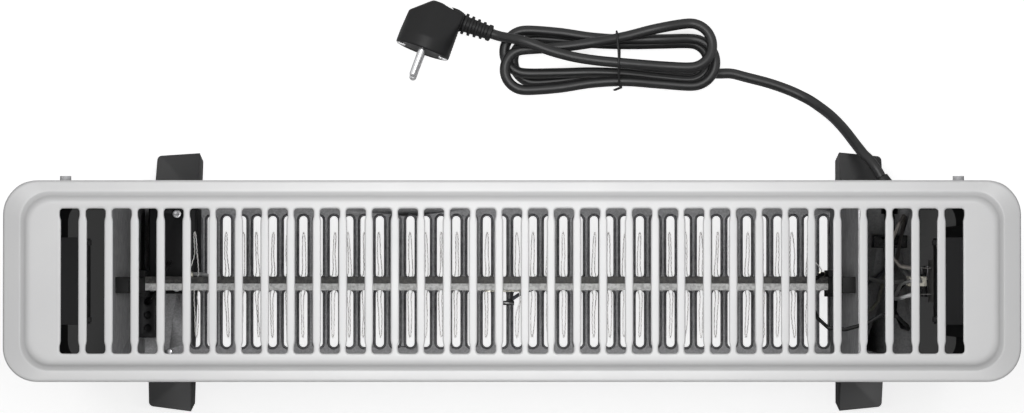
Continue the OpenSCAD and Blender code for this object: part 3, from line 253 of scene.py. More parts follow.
    def _floor_light_mask(self) -> bpy.types.NodeTree:
        """Makes a mask of level faces below a height, where a lighter colour is painted as light on a floor
        in shade.

        Returns:
            The group.
        """
        net, start, end = self._start(Effect.DUST, {"Ceiling": 0.15}, "Mask")
        coord, geom = net.node("TexCoord"), net.node("NewGeometry")
        place, facing = net.node("SeparateXYZ"), net.node("SeparateXYZ")
        level = net.node("MapRange", {"From Min": 0.6, "From Max": 0.95})
        below, both = net.node("Math", operation="LESS_THAN"), net.node("Math", operation="MULTIPLY")
        net.join((coord, "Object", place, "Vector"), (geom, "Normal", facing, "Vector"),
                 (facing, "Z", level, "Value"), (place, "Z", below, 0), (start, "Ceiling", below, 1),
                 (level, "Result", both, 0), (below, 0, both, 1), (both, 0, end, "Mask"))
        return net.tree


GROUPS = EffectGroups()


# Finishes


class Surface(Enum):
    """What the broad pattern of a finish is."""

    MOTTLED = "mottled"
    SPANGLED = "spangled"
    # Painted light: a lighter colour on level faces low down.
    DUSTED = "dusted"


@dataclass(frozen=True)
class Finish:
    """One procedural finish.

    Attributes:
        slot: The record's material slot that it belongs to. Not used.
        tone: Main colour, linear.
        second: Colour of the patches.
        rough: Roughness on the main colour and on the patches.
        metallic: 1 for bare metal.
        coat: Weight of a clear coat.
        surface: Kind of broad pattern.
        scale: Scale of the broad pattern.
        contrast: Width of its soft step.
        grain: Scale of the fine height.
        relief: Strength of the fine height.
        radius: Radius of the softened edges in metres.
        edge: Painted light at edges, as a factor on the tone: a painted highlight above 1, painted shade
            below 1.
        transmission: How clear it is.
        specular: Strength of its mirror reflection.
    """

    slot: str
    tone: Point
    second: Point
    rough: tuple[float, float] = (0.4, 0.5)
    metallic: float = 0.0
    coat: float = 0.0
    surface: Surface = Surface.MOTTLED
    scale: float = 25.0
    contrast: float = 0.5
    grain: float = 1500.0
    relief: float = 0.15
    radius: float = 0.0004
    edge: float = 1.0
    transmission: float = 0.0
    specular: float = 0.5

    def build(self, name: str) -> bpy.types.Material:
        """Makes the material.

        Args:
            name: Its name.

        Returns:
            The new material.
        """
        mat = bpy.data.materials.new(name)
        mat.use_nodes = True
        net = Net(mat.node_tree)
        shader = net.tree.nodes["Principled BSDF"]
        for socket, value in (("Metallic", self.metallic), ("Coat Weight", self.coat),
                              ("Coat Roughness", 0.2), ("Transmission Weight", self.transmission),
                              ("Specular IOR Level", self.specular)):
            shader.inputs[socket].default_value = value
        mask = self._pattern(net)
        colour = net.node("Mix", {"A": (*self.tone, 1.0), "B": (*self.second, 1.0)}, data_type="RGBA")
        rough = net.node("MapRange", {"To Min": self.rough[0], "To Max": self.rough[1]})
        grain = net.group(Effect.GRAIN, Scale=self.grain, Mix=0.35)
        edge = net.group(Effect.ROUNDED, Radius=self.radius, Strength=self.relief)
        net.join((mask, "Mask", colour, "Factor"), (mask, "Mask", rough, "Value"),
                 (rough, "Result", shader, "Roughness"), (grain, "Height", edge, "Height"),
                 (edge, "Normal", shader, "Normal"))
        # Painted edge light: a highlight where the edge factor is above 1, shade where it is below.
        if self.edge != 1.0:
            colour = self._paint_edge_highlight(net, colour)
        net.join((colour, "Result", shader, "Base Color"))
        return mat

    def _pattern(self, net: Net) -> bpy.types.Node:
        """Adds the broad pattern.

        Args:
            net: The material's nodes.

        Returns:
            The node that gives its mask.
        """
        if self.surface is Surface.SPANGLED:
            return net.group(Effect.SPANGLE, Scale=self.scale)
        # Painted light: the second colour goes on level faces low down.
        if self.surface is Surface.DUSTED:
            return net.group(Effect.DUST)
        return net.group(Effect.MOTTLE, Scale=self.scale, Contrast=self.contrast)

    def _paint_edge_highlight(self, net: Net, colour: bpy.types.Node) -> bpy.types.Node:
        """Paints light at the edges: a highlight where edge is above 1, shade where it is below.

        Args:
            net: The material's nodes.
            colour: The node that gives the colour without it.

        Returns:
            The node that gives the colour with it.
        """
        lip = net.group(Effect.LIP, Radius=max(self.radius * 2, 0.0006))
        lit = (*(min(1.0, c * self.edge) for c in self.tone), 1.0)
        shade = net.node("Mix", {"B": lit}, data_type="RGBA")
        net.join((lip, "Mask", shade, "Factor"), (colour, "Result", shade, "A"))
        return shade


def grey(tone: float, blue: float = 0.0) -> Point:
    """A grey, with a little more blue."""
    return tone, tone, tone + blue


class Palette(Enum):
    """Every finish of the heater."""

    ENAMEL = Finish("white_enamel", grey(0.80), grey(0.77, 0.005), (0.34, 0.42), coat=0.15, grain=700,
                    relief=0.10, radius=0.0007)
    PANEL_ENAMEL = Finish("white_enamel", grey(0.78, 0.005), grey(0.74, 0.01), (0.36, 0.46), coat=0.15,
                          grain=700, relief=0.12, radius=0.0007)
    PLATE = Finish("grey_coating", grey(0.28, 0.005), grey(0.215, 0.005), (0.55, 0.68), scale=900,
                   contrast=0.25, grain=900, relief=0.35, specular=0.3)
    # Painted shade: the plate's grey coating, darker, for the shade on the steep collars round the vents.
    COLLAR = Finish("grey_coating", grey(0.16, 0.005), grey(0.10, 0.005), (0.6, 0.75), scale=260,
                    contrast=0.25, grain=900, relief=0.35, specular=0.2)
    SHEET = Finish("bare_steel", grey(0.23, 0.005), grey(0.19, 0.005), (0.42, 0.55), metallic=0.6,
                   surface=Surface.SPANGLED, scale=260, relief=0.06)
    STRIP = Finish("light_board", grey(0.42, -0.005), grey(0.27, -0.005), (0.6, 0.8), scale=520,
                   contrast=0.2, relief=0.3)
    MICA = Finish("dark_board", (0.020, 0.0195, 0.019), (0.060, 0.058, 0.055), (0.5, 0.75), scale=520,
                  contrast=0.2, relief=0.4, grain=800, specular=0.3)
    HOLDER = Finish("dark_board", grey(0.007), grey(0.011), (0.55, 0.7), scale=200, specular=0.1)
    SCREW = Finish("bare_steel", grey(0.42, 0.01), grey(0.33, 0.01), (0.3, 0.45), metallic=0.95, scale=400,
                   radius=0.0002)
    # Painted shade: the screw steel made nearly black, so the clamp screws read as in shade.
    DULL_SCREW = Finish("bare_steel", grey(0.05), grey(0.03), (0.5, 0.65), metallic=0.9, scale=400,
                        radius=0.0002)
    # edge=1.5 paints a highlight along the black plastic's edges.
    BLACK = Finish("black_plastic", grey(0.011, 0.0005), grey(0.017, 0.0005), (0.42, 0.52), grain=2400,
                   relief=0.35, radius=0.0006, edge=1.5, specular=0.3)
    # Painted shade and painted light: the end caps' black is darker than BLACK so that their inside under the
    # cover reads shaded, and their level faces low down take the lighter second colour, painted light on the
    # floor inside.
    CAP = Finish("black_plastic", grey(0.006, 0.0003), grey(0.060), (0.78, 0.85), surface=Surface.DUSTED,
                 grain=2400, relief=0.35, radius=0.0006, specular=0.12)
    LEAD = Finish("black_cord", grey(0.006), grey(0.010), (0.45, 0.55), scale=60, specular=0.15)
    DEEP_BLACK = Finish("black_plastic", grey(0.007, 0.0005), grey(0.011, 0.0005), (0.48, 0.58), grain=2400,
                        relief=0.35, radius=0.0006, specular=0.12)
    BLACK_GLOSS = Finish("black_gloss_plastic", grey(0.012, 0.001), grey(0.016), (0.16, 0.24), coat=0.2,
                         relief=0.05, specular=0.4)
    RUBBER = Finish("black_cord", grey(0.016, 0.0005), grey(0.024, 0.0005), (0.34, 0.42), scale=60,
                    grain=1800, relief=0.25, specular=0.45)
    BRASS = Finish("brass_terminals", (0.40, 0.385, 0.34), (0.30, 0.29, 0.25), (0.32, 0.48), metallic=1.0,
                   scale=300)
    HOT_WIRE = Finish("resistance_wire", (0.74, 0.73, 0.72), (0.50, 0.49, 0.48), (0.5, 0.65), scale=200,
                      specular=0.3)
    NICKEL = Finish("plated_pins", grey(0.72, 0.01), grey(0.62, 0.01), (0.18, 0.32), metallic=1.0, scale=200,
                    radius=0.0002)
    LENS = Finish("red_lens", (0.55, 0.06, 0.03), (0.50, 0.05, 0.02), (0.08, 0.14), transmission=0.4)
    GREY_LEAD = Finish("grey_lead", grey(0.38), grey(0.30), scale=80)
    BROWN_LEAD = Finish("brown_lead", (0.15, 0.138, 0.128), (0.12, 0.11, 0.10), scale=80)
    BLUE_LEAD = Finish("blue_lead", (0.10, 0.105, 0.118), (0.08, 0.085, 0.098), scale=80)
    GREEN_LEAD = Finish("green_lead", (0.23, 0.235, 0.20), (0.29, 0.285, 0.23), scale=260, contrast=0.05)
    SPACER = Finish("spacer_plastic", grey(0.50, 0.01), grey(0.46, 0.01), relief=0.2)

    def material(self) -> bpy.types.Material:
        """Gives the finish's material, made at the first call."""
        name = f"heater_{self.name.lower()}"
        return bpy.data.materials.get(name) or self.value.build(name)


# Mesh drafts


def unit(v: np.ndarray) -> np.ndarray:
    """Gives v at length 1."""
    return v / max(float(np.linalg.norm(v)), 1e-12)


def smooth(t: float) -> float:
    """Eases t from 0 to 1."""
    c = min(1.0, max(0.0, t))
    return c * c * (3 - 2 * c)


def bezier(a: np.ndarray, b: np.ndarray, c: np.ndarray, d: np.ndarray, t: float) -> np.ndarray:
    """The point at t of a cubic from a to d."""
    return (1 - t) ** 3 * a + 3 * (1 - t) ** 2 * t * b + 3 * (1 - t) * t * t * c + t ** 3 * d


def in_metres(loops: Iterable[Iterable[Sequence[float]]]) -> list[list[Point]]:
    """Turns loops of points from millimetres to metres."""
    return [[tuple(c * MM for c in p) for p in loop] for loop in loops]


def spline(points: np.ndarray, step: float) -> np.ndarray:
    """Runs a smooth curve through points.

    Args:
        points: The points, n by 3.
        step: About how far apart the new points are.

    Returns:
        The points of a centripetal Catmull-Rom curve.
    """
    p = np.vstack([2 * points[0] - points[1], points, 2 * points[-1] - points[-2]])
    out: list[np.ndarray] = []
    for i in range(1, len(p) - 2):
        a, b, c, d = p[i - 1], p[i], p[i + 1], p[i + 2]
        t1 = max(float(np.linalg.norm(b - a)), 1e-9) ** 0.5
        t2 = t1 + max(float(np.linalg.norm(c - b)), 1e-9) ** 0.5
        t3 = t2 + max(float(np.linalg.norm(d - c)), 1e-9) ** 0.5
        n = max(2, int(math.ceil(np.linalg.norm(c - b) / step)))
        for k in range(n):
            t = t1 + (t2 - t1) * k / n
            a1 = (t1 - t) / t1 * a + t / t1 * b
            a2 = (t2 - t) / (t2 - t1) * b + (t - t1) / (t2 - t1) * c
            a3 = (t3 - t) / (t3 - t2) * c + (t - t2) / (t3 - t2) * d
            b1 = (t2 - t) / t2 * a1 + t / t2 * a2
            b2 = (t3 - t) / (t3 - t1) * a2 + (t - t1) / (t3 - t1) * a3
            out.append((t2 - t) / (t2 - t1) * b1 + (t - t1) / (t2 - t1) * b2)
    out.append(points[-1])
    return np.array(out)


class Draft:
    """Collects vertices and faces of one piece, in metres."""

    def __init__(self, name: str) -> None:
        """Starts an empty piece.

        Args:
            name: The piece's name.
        """
        self.name = name
        self.verts: list[Sequence[float]] = []
        self.faces: list[Sequence[int]] = []

    def add(self, verts: Iterable[Sequence[float]], faces: Iterable[Sequence[int]]) -> None:
        """Adds loose geometry.

        Args:
            verts: New vertices.
            faces: Faces on them, counted from 0.
        """
        base = len(self.verts)
        self.verts.extend(tuple(float(c) for c in v) for v in verts)
        self.faces.extend([base + i for i in f] for f in faces)

    def loft(self, loops: Sequence[Sequence[Sequence[float]]], closed: bool = False) -> None:
        """Joins loops of the same length.

        Args:
            loops: The loops, in order.
            closed: Whether the first and the last loop get a face.
        """
        n = len(loops[0])
        faces: list[Sequence[int]] = []
        for i in range(len(loops) - 1):
            for k in range(n):
                a, b = i * n + k, i * n + (k + 1) % n
                faces.append((a, b, b + n, a + n))
        if closed:
            faces.append(tuple(range(n - 1, -1, -1)))
            faces.append(tuple((len(loops) - 1) * n + k for k in range(n)))
        self.add([v for loop in loops for v in loop], faces)

    def sweep(self, path: np.ndarray, radius: float, sides: int, closed: bool = True) -> None:
        """Sweeps a round tube along a path.

        Args:
            path: Points, n by 3.
            radius: Tube radius.
            sides: Sides of the tube.
            closed: Whether the two ends get a face.
        """
        dirs = np.gradient(path, axis=0)
        side = np.array([0.0, 0.0, 1.0]) if abs(unit(dirs[0])[2]) < 0.9 else np.array([1.0, 0.0, 0.0])
        turn = np.arange(sides) * 2 * math.pi / sides
        loops = []
        for p, d in zip(path, dirs):
            d = unit(d)
            side = unit(side - side.dot(d) * d)
            up = np.cross(d, side)
            loops.append(p + radius * (np.cos(turn)[:, None] * side + np.sin(turn)[:, None] * up))
        self.loft(loops, closed)

    def build(self, finish: Palette, crease: float = 35.0) -> bpy.types.Object:
        """Makes the object.

        Args:
            finish: Its finish.
            crease: Angle in degrees above which an edge stays sharp.

        Returns:
            The new object, riding on its body.
        """
        mesh = bpy.data.meshes.new(self.name)
        mesh.from_pydata([tuple(v) for v in self.verts], [], [list(f) for f in self.faces])
        mesh.validate()
        work = bmesh.new()
        work.from_mesh(mesh)
        bmesh.ops.recalc_face_normals(work, faces=work.faces)
        work.to_mesh(mesh)
        work.free()
        mesh.shade_smooth()
        mesh.set_sharp_from_angle(angle=math.radians(crease))
        return dress(linked(self.name, mesh), finish)


def linked(name: str, mesh: bpy.types.Mesh) -> bpy.types.Object:
    """Puts a mesh into the scene.

    Args:
        name: Name of its object.
        mesh: The mesh.

    Returns:
        The new object.
    """
    obj = bpy.data.objects.new(name, mesh)
    bpy.context.scene.collection.objects.link(obj)
    return obj


def dress(obj: bpy.types.Object, finish: Palette) -> bpy.types.Object:
    """Gives a new piece its finish and its body.

    Args:
        obj: The piece.
        finish: Its finish.

    Returns:
        The piece.
    """
    obj.data.materials.clear()
    obj.data.materials.append(finish.material())
    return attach(obj, BODY)


def settle(obj: bpy.types.Object) -> bpy.types.Object:
    """Applies a piece's modifiers to its mesh and removes them.

    Args:
        obj: The piece.

    Returns:
        The piece.
    """
    graph = bpy.context.evaluated_depsgraph_get()
    mesh = bpy.data.meshes.new_from_object(obj.evaluated_get(graph))
    obj.modifiers.clear()
    old, obj.data = obj.data, mesh
    bpy.data.meshes.remove(old)
    return obj


# Studio


@dataclass(frozen=True)
class Lamp:
    """A soft box that the camera doesn't see. Metres.

    Attributes:
        name: Its name.
        at: Where it is.
        aim: The point that it faces.
        size: Its width and height.
        power: Watts.
    """

    name: str
    at: Point
    aim: Point
    size: tuple[float, float]
    power: float

    def hang(self, lit: bpy.types.Collection | None = None, alone: bool = False) -> None:
        """Adds the light.

        Args:
            lit: The pieces that it lights, or None for all.
            alone: Whether only these pieces throw shadows in it.
        """
        data = bpy.data.lights.new(self.name, "AREA")
        data.shape = "RECTANGLE"
        data.size, data.size_y = self.size
        data.energy = self.power
        lamp = bpy.data.objects.new(self.name, data)
        lamp.location = self.at
        lamp.visible_camera = False
        lamp.rotation_euler = (Vector(self.aim) - Vector(self.at)).to_track_quat("-Z", "Y").to_euler()
        bpy.context.scene.collection.objects.link(lamp)
        if lit is not None:
            lamp.light_linking.receiver_collection = lit
        if alone:
            lamp.light_linking.blocker_collection = lit


STUDIO_LAMPS = (Lamp("key_light", (-0.05, 0.5, 2.3), (0, 0, 0.35), (1.4, 0.6), 14.0),
                Lamp("top_light", (0.0, 0.01, 0.97), (0, 0, 0.4), (0.36, 0.16), 1.5),
                Lamp("front_light", (0.4, -2.4, 1.2), (0, 0, 0.2), (2.4, 1.6), 1.2))
SKIRT_LAMPS = (Lamp("front_glow", (0.6, -1.6, -0.9), (0, 0, 0.4), (2.0, 1.0), 20.0),
               Lamp("rear_glow", (-0.6, 1.6, -0.9), (0, 0, 0.4), (2.0, 1.0), 14.0))
INSIDE_LAMPS = (Lamp("inside_light", (0.02, 0.0, 0.62), (0, 0, 0.05), (0.42, 0.07), 1.7),
                Lamp("end_light", (0.25, 0.0, 0.55), (0.25, 0, 0.05), (0.05, 0.07), 0.22))
SIDE_LAMPS = (Lamp("front_fill", (0.9, -2.3, 1.1), (0, 0, 0.2), (2.0, 1.4), 30.0),
              Lamp("rear_fill", (-0.8, 2.3, 1.1), (0, 0, 0.2), (2.0, 1.4), 22.0))
CAP_LAMPS = (Lamp("cap_light", (0.0, 0.0, 1.2), (0, 0, 0.05), (0.1, 0.09), 7.5),)


@dataclass
class Studio:
    """The camera, the lights and the floor. Metres and degrees.

    Attributes:
        lens: Focal length in millimetres, for a sensor 36 mm wide.
        camera_at: Where the camera is.
        camera_lean: Its tilt from straight down.
        picture: Width and height of the picture in pixels.
        floor_size: Side of the square floor.
        floor_tone: The floor's grey, and floor_rough its roughness.
        floor_glow: What is added to it where the camera sees it, so that it reads white.
        world_light: Strength of the world as light.
    """

    lens: float = 156.6
    camera_at: Point = (0.0, -0.0023, 2.966)
    camera_lean: float = 1.01
    picture: tuple[int, int] = (1024, 413)
    floor_size: float = 12.0
    floor_tone: float = 0.82
    floor_rough: float = 0.85
    floor_glow: float = 0.78
    world_light: float = 0.06

    def build(self) -> None:
        """Builds all of it but the lamps for single pieces."""
        self._camera()
        self._floor()
        self._world()
        for lamp in STUDIO_LAMPS:
            lamp.hang()
        LOG.info("studio: camera, floor, world and %d lights", len(STUDIO_LAMPS))

    def _camera(self) -> None:
        """Puts the camera where the photograph was taken from."""
        data = bpy.data.cameras.new("camera")
        data.lens = self.lens
        data.sensor_width = 36.0
        cam = bpy.data.objects.new("camera", data)
        cam.location = self.camera_at
        cam.rotation_euler = (math.radians(self.camera_lean), 0.0, 0.0)
        scene = bpy.context.scene
        scene.collection.objects.link(cam)
        scene.camera = cam
        scene.render.resolution_x, scene.render.resolution_y = self.picture
        scene.view_settings.view_transform = "Standard"

    def _floor(self) -> None:
        """Lays a pale floor that reads white in the camera and keeps a soft shadow."""
        half = self.floor_size / 2
        mesh = bpy.data.meshes.new("floor")
        mesh.from_pydata([(-half, -half, 0), (half, -half, 0), (half, half, 0), (-half, half, 0)], [],
                         [(0, 1, 2, 3)])
        floor = linked("floor", mesh)
        mat = bpy.data.materials.new("floor")
        mat.use_nodes = True
        net = Net(mat.node_tree)
        shader = net.tree.nodes["Principled BSDF"]
        shader.inputs["Base Color"].default_value = (self.floor_tone, self.floor_tone, self.floor_tone, 1)
        shader.inputs["Roughness"].default_value = self.floor_rough
        glow = net.node("Emission", {"Strength": self.floor_glow})
        add, mix, path = net.node("AddShader"), net.node("MixShader"), net.node("LightPath")
        surface = net.tree.nodes["Material Output"]
        net.join((shader, 0, add, 0), (glow, 0, add, 1), (path, "Is Camera Ray", mix, "Fac"),
                 (shader, 0, mix, 1), (add, 0, mix, 2), (mix, 0, surface, "Surface"))
        mesh.materials.append(mat)

    def _world(self) -> None:
        """Makes a world that is white to the camera and in mirrors, and softer as light."""
        world = bpy.data.worlds.new("studio")
        bpy.context.scene.world = world
        world.use_nodes = True
        net = Net(world.node_tree)
        base = net.tree.nodes["Background"]
        base.inputs["Color"].default_value = (1, 1, 1, 1)
        base.inputs["Strength"].default_value = self.world_light
        white = net.node("Background", {"Color": (1, 1, 1, 1), "Strength": 1.0})
        either, any_of = (net.node("Math", operation="MAXIMUM") for _ in range(2))
        path, mix = net.node("LightPath"), net.node("MixShader")
        net.join((path, "Is Camera Ray", either, 0), (path, "Is Glossy Ray", either, 1),
                 (either, 0, any_of, 0), (path, "Is Transmission Ray", any_of, 1),
                 (any_of, 0, mix, "Fac"), (base, 0, mix, 1), (white, 0, mix, 2),
                 (mix, 0, net.tree.nodes["World Output"], "Surface"))

    @staticmethod
    def light_only(name: str, pieces: Iterable[bpy.types.Object], lamps: Iterable[Lamp],
                   alone: bool = True) -> None:
        """Hangs lights that reach some pieces alone.

        Args:
            name: Name of the collection that holds the pieces.
            pieces: The pieces.
            lamps: The lights.
            alone: Whether only these pieces throw shadows in them.
        """
        lit = bpy.data.collections.new(name)
        for piece in pieces:
            lit.objects.link(piece)
        for lamp in lamps:
            lamp.hang(lit, alone)


# Mains cord


@dataclass
class MainsCord:
    """The cord, its tie and its moulded plug. Lengths are in millimetres.

    Attributes:
        length: Length from the bushing to the plug. Not used.
        bend: Where the cord turns aside at the rear panel.
        turn: Angle by which it turns, in degrees from straight back to the left.
        nose: How far it runs on from there inside the bushing.
        middle: X and Y of the hank's middle.
        entry: Where the cord enters the hank, from its middle.
        half: Half the width over which the hank is drawn in.
        waist: Share of its breadth that is left in the middle.
        sag: How far its upper layers sink at the rear on the right.
        lift: How far it is raised where the tie holds it.
        layer_gap: Room between its layers.
        sides: Sides of the cord's tube, and step about how far apart its points are.
        tie_gap: Room between the cord and the middle of the tie's wire.
        tie_r: Radius of that wire round the hank, and tie_end_r at its twisted ends.
        tie_points: How many points each twisted end has.
        tie_x: X of the tie.
        lobe_steps: How many parts each turn-round has.
        lobes: Each turn-round of the hank: X, Y, radius and layer.
        off: Where the cord leaves the hank, and off_dir in which direction.
        down: The cord's points on its way to the floor.
        plug_at: Where the middle of the plug's face is.
        plug_turn: The plug's turn about the upright, and plug_lean its lean, in degrees.
        sleeve_x: X of the sleeve's mouth in the plug's frame, and sleeve_y its Y.
        face_r: Radius of the plug's face.
        pin_pitch: Distance between the pins, pin_d their diameter and pin_len their length.
    """

    diameter: float = 6.8
    length: float = 1232.0
    bend: Point = (246.0, 58.6, 64.0)
    turn: float = 30.0
    nose: float = 11.0
    middle: tuple[float, float] = (68.0, 149.4)
    entry: tuple[float, float] = (71.0, -11.0)
    half: float = 51.0
    waist: float = 0.8
    sag: float = 2.8
    lift: float = 1.7
    layer_gap: float = 0.8
    sides: int = 16
    step: float = 1.6
    tie_gap: float = 0.75
    tie_r: float = 0.7
    tie_end_r: float = 0.6
    tie_points: int = 13
    tie_x: float = 71.0
    lobe_steps: int = 10
    lobes: tuple[tuple[float, float, float, int], ...] = (
        (-52.5, -2.4, 14.6, 0), (50, -3.4, 12.2, 1), (-58.9, 3, 14.2, 1),
        (51, -4.2, 15.6, 2), (-59.4, -9.2, 13.4, 2), (49.7, 6.6, 14.6, 3))
    off: Point = (-58.0, 8.6, 3.0)
    off_dir: Point = (-0.93, 0.367, 0.0)
    down: tuple[Point, ...] = (
        (233.5, 79.1, 61), (229.6, 83.3, 57.4), (226.6, 87.7, 52.1), (223.5, 92.6, 45.2), (220.2, 97.9, 37.9),
        (217, 102.5, 31), (213.4, 107.1, 24.2), (209.5, 111.3, 17.4), (204.2, 115.9, 10.6), (198, 120.5, 6.1),
        (191, 124.3, 3.9), (184.4, 127.3, 3.4), (171.3, 131.9, 3.4), (156.4, 135.8, 3.4))
    plug_at: Point = (-59.8, 152.1, 19.3)
    plug_turn: float = -20.0
    plug_lean: float = -4.6
    sleeve_y: float = 27.3
    sleeve_x: float = 39.5
    face_r: float = 18.5
    pin_pitch: float = 19.0
    pin_d: float = 4.8
    pin_len: float = 19.0

    def build(self) -> None:
        """Builds the cord and everything on it."""
        tie = self._tie()
        body, pins, clips = self._plug_body(), self._pins(), self._clips()
        path = spline(self.route(), self.step)
        draft = Draft("mains_cord")
        draft.sweep(path * MM, self.diameter / 2 * MM, self.sides)
        cord = draft.build(Palette.RUBBER)
        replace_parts(cord, "cord_run", "cord_hank", "cord_tail")
        [c * MM for c in self.exit_point()]
        shown = float(np.linalg.norm(np.diff(path, axis=0), axis=1).sum()) * MM
        LOG.info("mains cord: %.3f m", shown)

    def out(self) -> np.ndarray:
        """Direction in which the cord leaves its bushing."""
        a = math.radians(self.turn)
        return np.array([-math.sin(a), math.cos(a), 0.0])

    def exit_point(self) -> np.ndarray:
        """Where the cord leaves the heater."""
        return np.array(self.bend) + self.nose * self.out()

    def _lobe_point(self, j: int, a: float) -> np.ndarray:
        """A point on a lobe, before the hank is placed.

        Args:
            j: Number of the lobe.
            a: Angle round it.

        Returns:
            Its place from the hank's middle, and its layer.
        """
        x, y, r, layer = self.lobes[j]
        side = -1 if j % 2 == 0 else 1
        return np.array([x + side * r * math.sin(a), y + side * r * math.cos(a), layer], dtype=float)

    @staticmethod
    def _run(p: np.ndarray, q: np.ndarray, steps: int) -> list[np.ndarray]:
        """The points between two lobes. A run to the right climbs a layer on its way.

        Args:
            p: Where it starts.
            q: Where it ends.
            steps: How many parts it has.

        Returns:
            The points between p and q.
        """
        out = []
        for i in range(1, steps):
            t = i / steps
            x = p[0] + (q[0] - p[0]) * t
            climb = smooth((x + 18) / 46)
            out.append(np.array([x, p[1] + (q[1] - p[1]) * smooth(t), p[2] + (q[2] - p[2]) * climb]))
        return out

    def _place_hank(self, p: np.ndarray) -> np.ndarray:
        """Takes a point of the hank from its layer to its place in the heater's frame.

        Args:
            p: Its place from the hank's middle, and its layer.

        Returns:
            Its place.
        """
        across = max(-1.0, min(1.0, (p[0] + 1) / self.half))
        width = 1 - (1 - self.waist) * (1 - across ** 2) ** 2
        low = self.sag * smooth((p[0] - 24) / 26) * smooth((p[1] + 10) / 22) if p[2] > 0 else 0.0
        high = self.lift * math.exp(-((self.middle[0] + p[0] - self.tie_x) / 24) ** 2)
        return np.array([self.middle[0] + p[0], self.middle[1] + p[1] * width,
                         self.diameter / 2 + (self.diameter + self.layer_gap) * p[2] + high - low])

    def _hank(self) -> list[np.ndarray]:
        """Every point of the hank.

        Returns:
            The points, in the heater's frame.
        """
        start = np.array([self.entry[0] - self.diameter, self.entry[1], 0.0])
        flat = [start + np.array([self.diameter, 0, 0]), start, *self._run(start, self._lobe_point(0, 0), 7)]
        for j in range(len(self.lobes)):
            flat += [self._lobe_point(j, math.pi * i / self.lobe_steps) for i in range(self.lobe_steps + 1)]
            if j + 1 < len(self.lobes):
                flat += self._run(flat[-1], self._lobe_point(j + 1, 0), 5)
        last, off, away = flat[-1], np.array(self.off), np.array(self.off_dir)
        flat += [bezier(last, last - np.array([42, 0, 0]), off - 40 * away, off, t)
                 for t in (0.14, 0.28, 0.42, 0.56, 0.7, 0.85, 1.0)]
        return [self._place_hank(p) for p in flat]

    def plug_point(self, v: Sequence[float]) -> np.ndarray:
        """Takes a point from the plug's frame: +X to the cord, +Y away from the pins.

        Args:
            v: The point in the plug's frame.

        Returns:
            The point in the heater's frame.
        """
        lean, turn = math.radians(self.plug_lean), math.radians(self.plug_turn)
        y = v[1] * math.cos(lean) - v[2] * math.sin(lean)
        z = v[1] * math.sin(lean) + v[2] * math.cos(lean)
        return np.array(self.plug_at) + np.array(
            [v[0] * math.cos(turn) - y * math.sin(turn), v[0] * math.sin(turn) + y * math.cos(turn), z])

    def route(self) -> np.ndarray:
        """Every point that the cord's centre passes through, from the heater to the plug.

        Returns:
            The points, n by 3.
        """
        out, start = self.out(), self.exit_point()
        hank = self._hank()
        points = [start, start + 7 * out - np.array([0, 0, 0.8]), *map(np.array, self.down),
                  hank[0] + np.array([self.diameter, 0, 0]), *hank]
        last, away = hank[-1], hank[-1] - hank[-2]
        away[2] = 0
        away = unit(away)
        mouth = self.plug_point((self.sleeve_x + 1, self.sleeve_y, 0))
        end = self.plug_point((self.sleeve_x - 5.8, self.sleeve_y, 0))
        near_mouth = mouth - 8 * unit(end - mouth)
        points += [bezier(last, last + 9 * away, near_mouth, mouth, t) for t in (0.2, 0.4, 0.6, 0.8)]
        return np.array([*points, mouth, end], dtype=float)

    def _girth(self, grow: float) -> np.ndarray:
        """The tight outline round the bundle where the tie is.

        Args:
            grow: How far outside the cord's surface it runs.

        Returns:
            The outline's points as (Y, Z), closed.
        """
        path = spline(self.route(), 1.0)
        near = path[np.abs(path[:, 0] - self.tie_x) < 1.3]
        turn = np.arange(24) * 2 * math.pi / 24
        circle = (self.diameter / 2 + grow) * np.column_stack([np.cos(turn), np.sin(turn)])
        cloud = sorted((round(float(y), 4), round(max(float(z), 0.75), 4))
                       for p in near for y, z in circle + p[1:])
        hull: list[tuple[float, float]] = []
        for half in (cloud, cloud[::-1]):
            start = len(hull)
            for q in half:
                while len(hull) - start > 1 and (
                        (hull[-1][0] - hull[-2][0]) * (q[1] - hull[-2][1])
                        - (hull[-1][1] - hull[-2][1]) * (q[0] - hull[-2][0])) <= 0:
                    hull.pop()
                hull.append(q)
            hull.pop()
        return np.array([*hull, hull[0]])

    def _tie(self) -> bpy.types.Object:
        """A thin wire twist round the hank, its two ends twisted together at the front.

        Returns:
            The tie.
        """
        ring = self._girth(self.tie_gap)
        steps = np.concatenate([[0], np.cumsum(np.linalg.norm(np.diff(ring, axis=0), axis=1))])
        even = np.linspace(0, steps[-1], 61)
        y, z = (np.interp(even, steps, ring[:, i]) for i in (0, 1))
        turn = even / steps[-1] * 2 * math.pi
        loop = np.column_stack([self.tie_x + 1.5 * np.sin(turn + 0.6) + 0.5 * np.sin(3 * turn), y, z])
        draft = Draft("twist_tie")
        draft.sweep(spline(loop, 1.0) * MM, self.tie_r * MM, 8, closed=False)
        start = loop[int(np.argmin(loop[:, 1]))]
        for phase in (0.0, math.pi):
            end = []
            for k in range(self.tie_points):
                a = phase + k * 0.9
                end.append(start + np.array([-0.35 * k + 0.65 * math.cos(a), -0.1 - 0.16 * k,
                                             0.5 * k + 0.65 * math.sin(a)]))
            draft.sweep(spline(np.array(end), 0.5) * MM, self.tie_end_r * MM, 8)
        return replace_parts(draft.build(Palette.RUBBER), "cord_tie")

    def _place(self, points: Iterable[Sequence[float]]) -> list[np.ndarray]:
        """Takes points from the plug's frame to metres in the heater's."""
        return [self.plug_point(p) * MM for p in points]

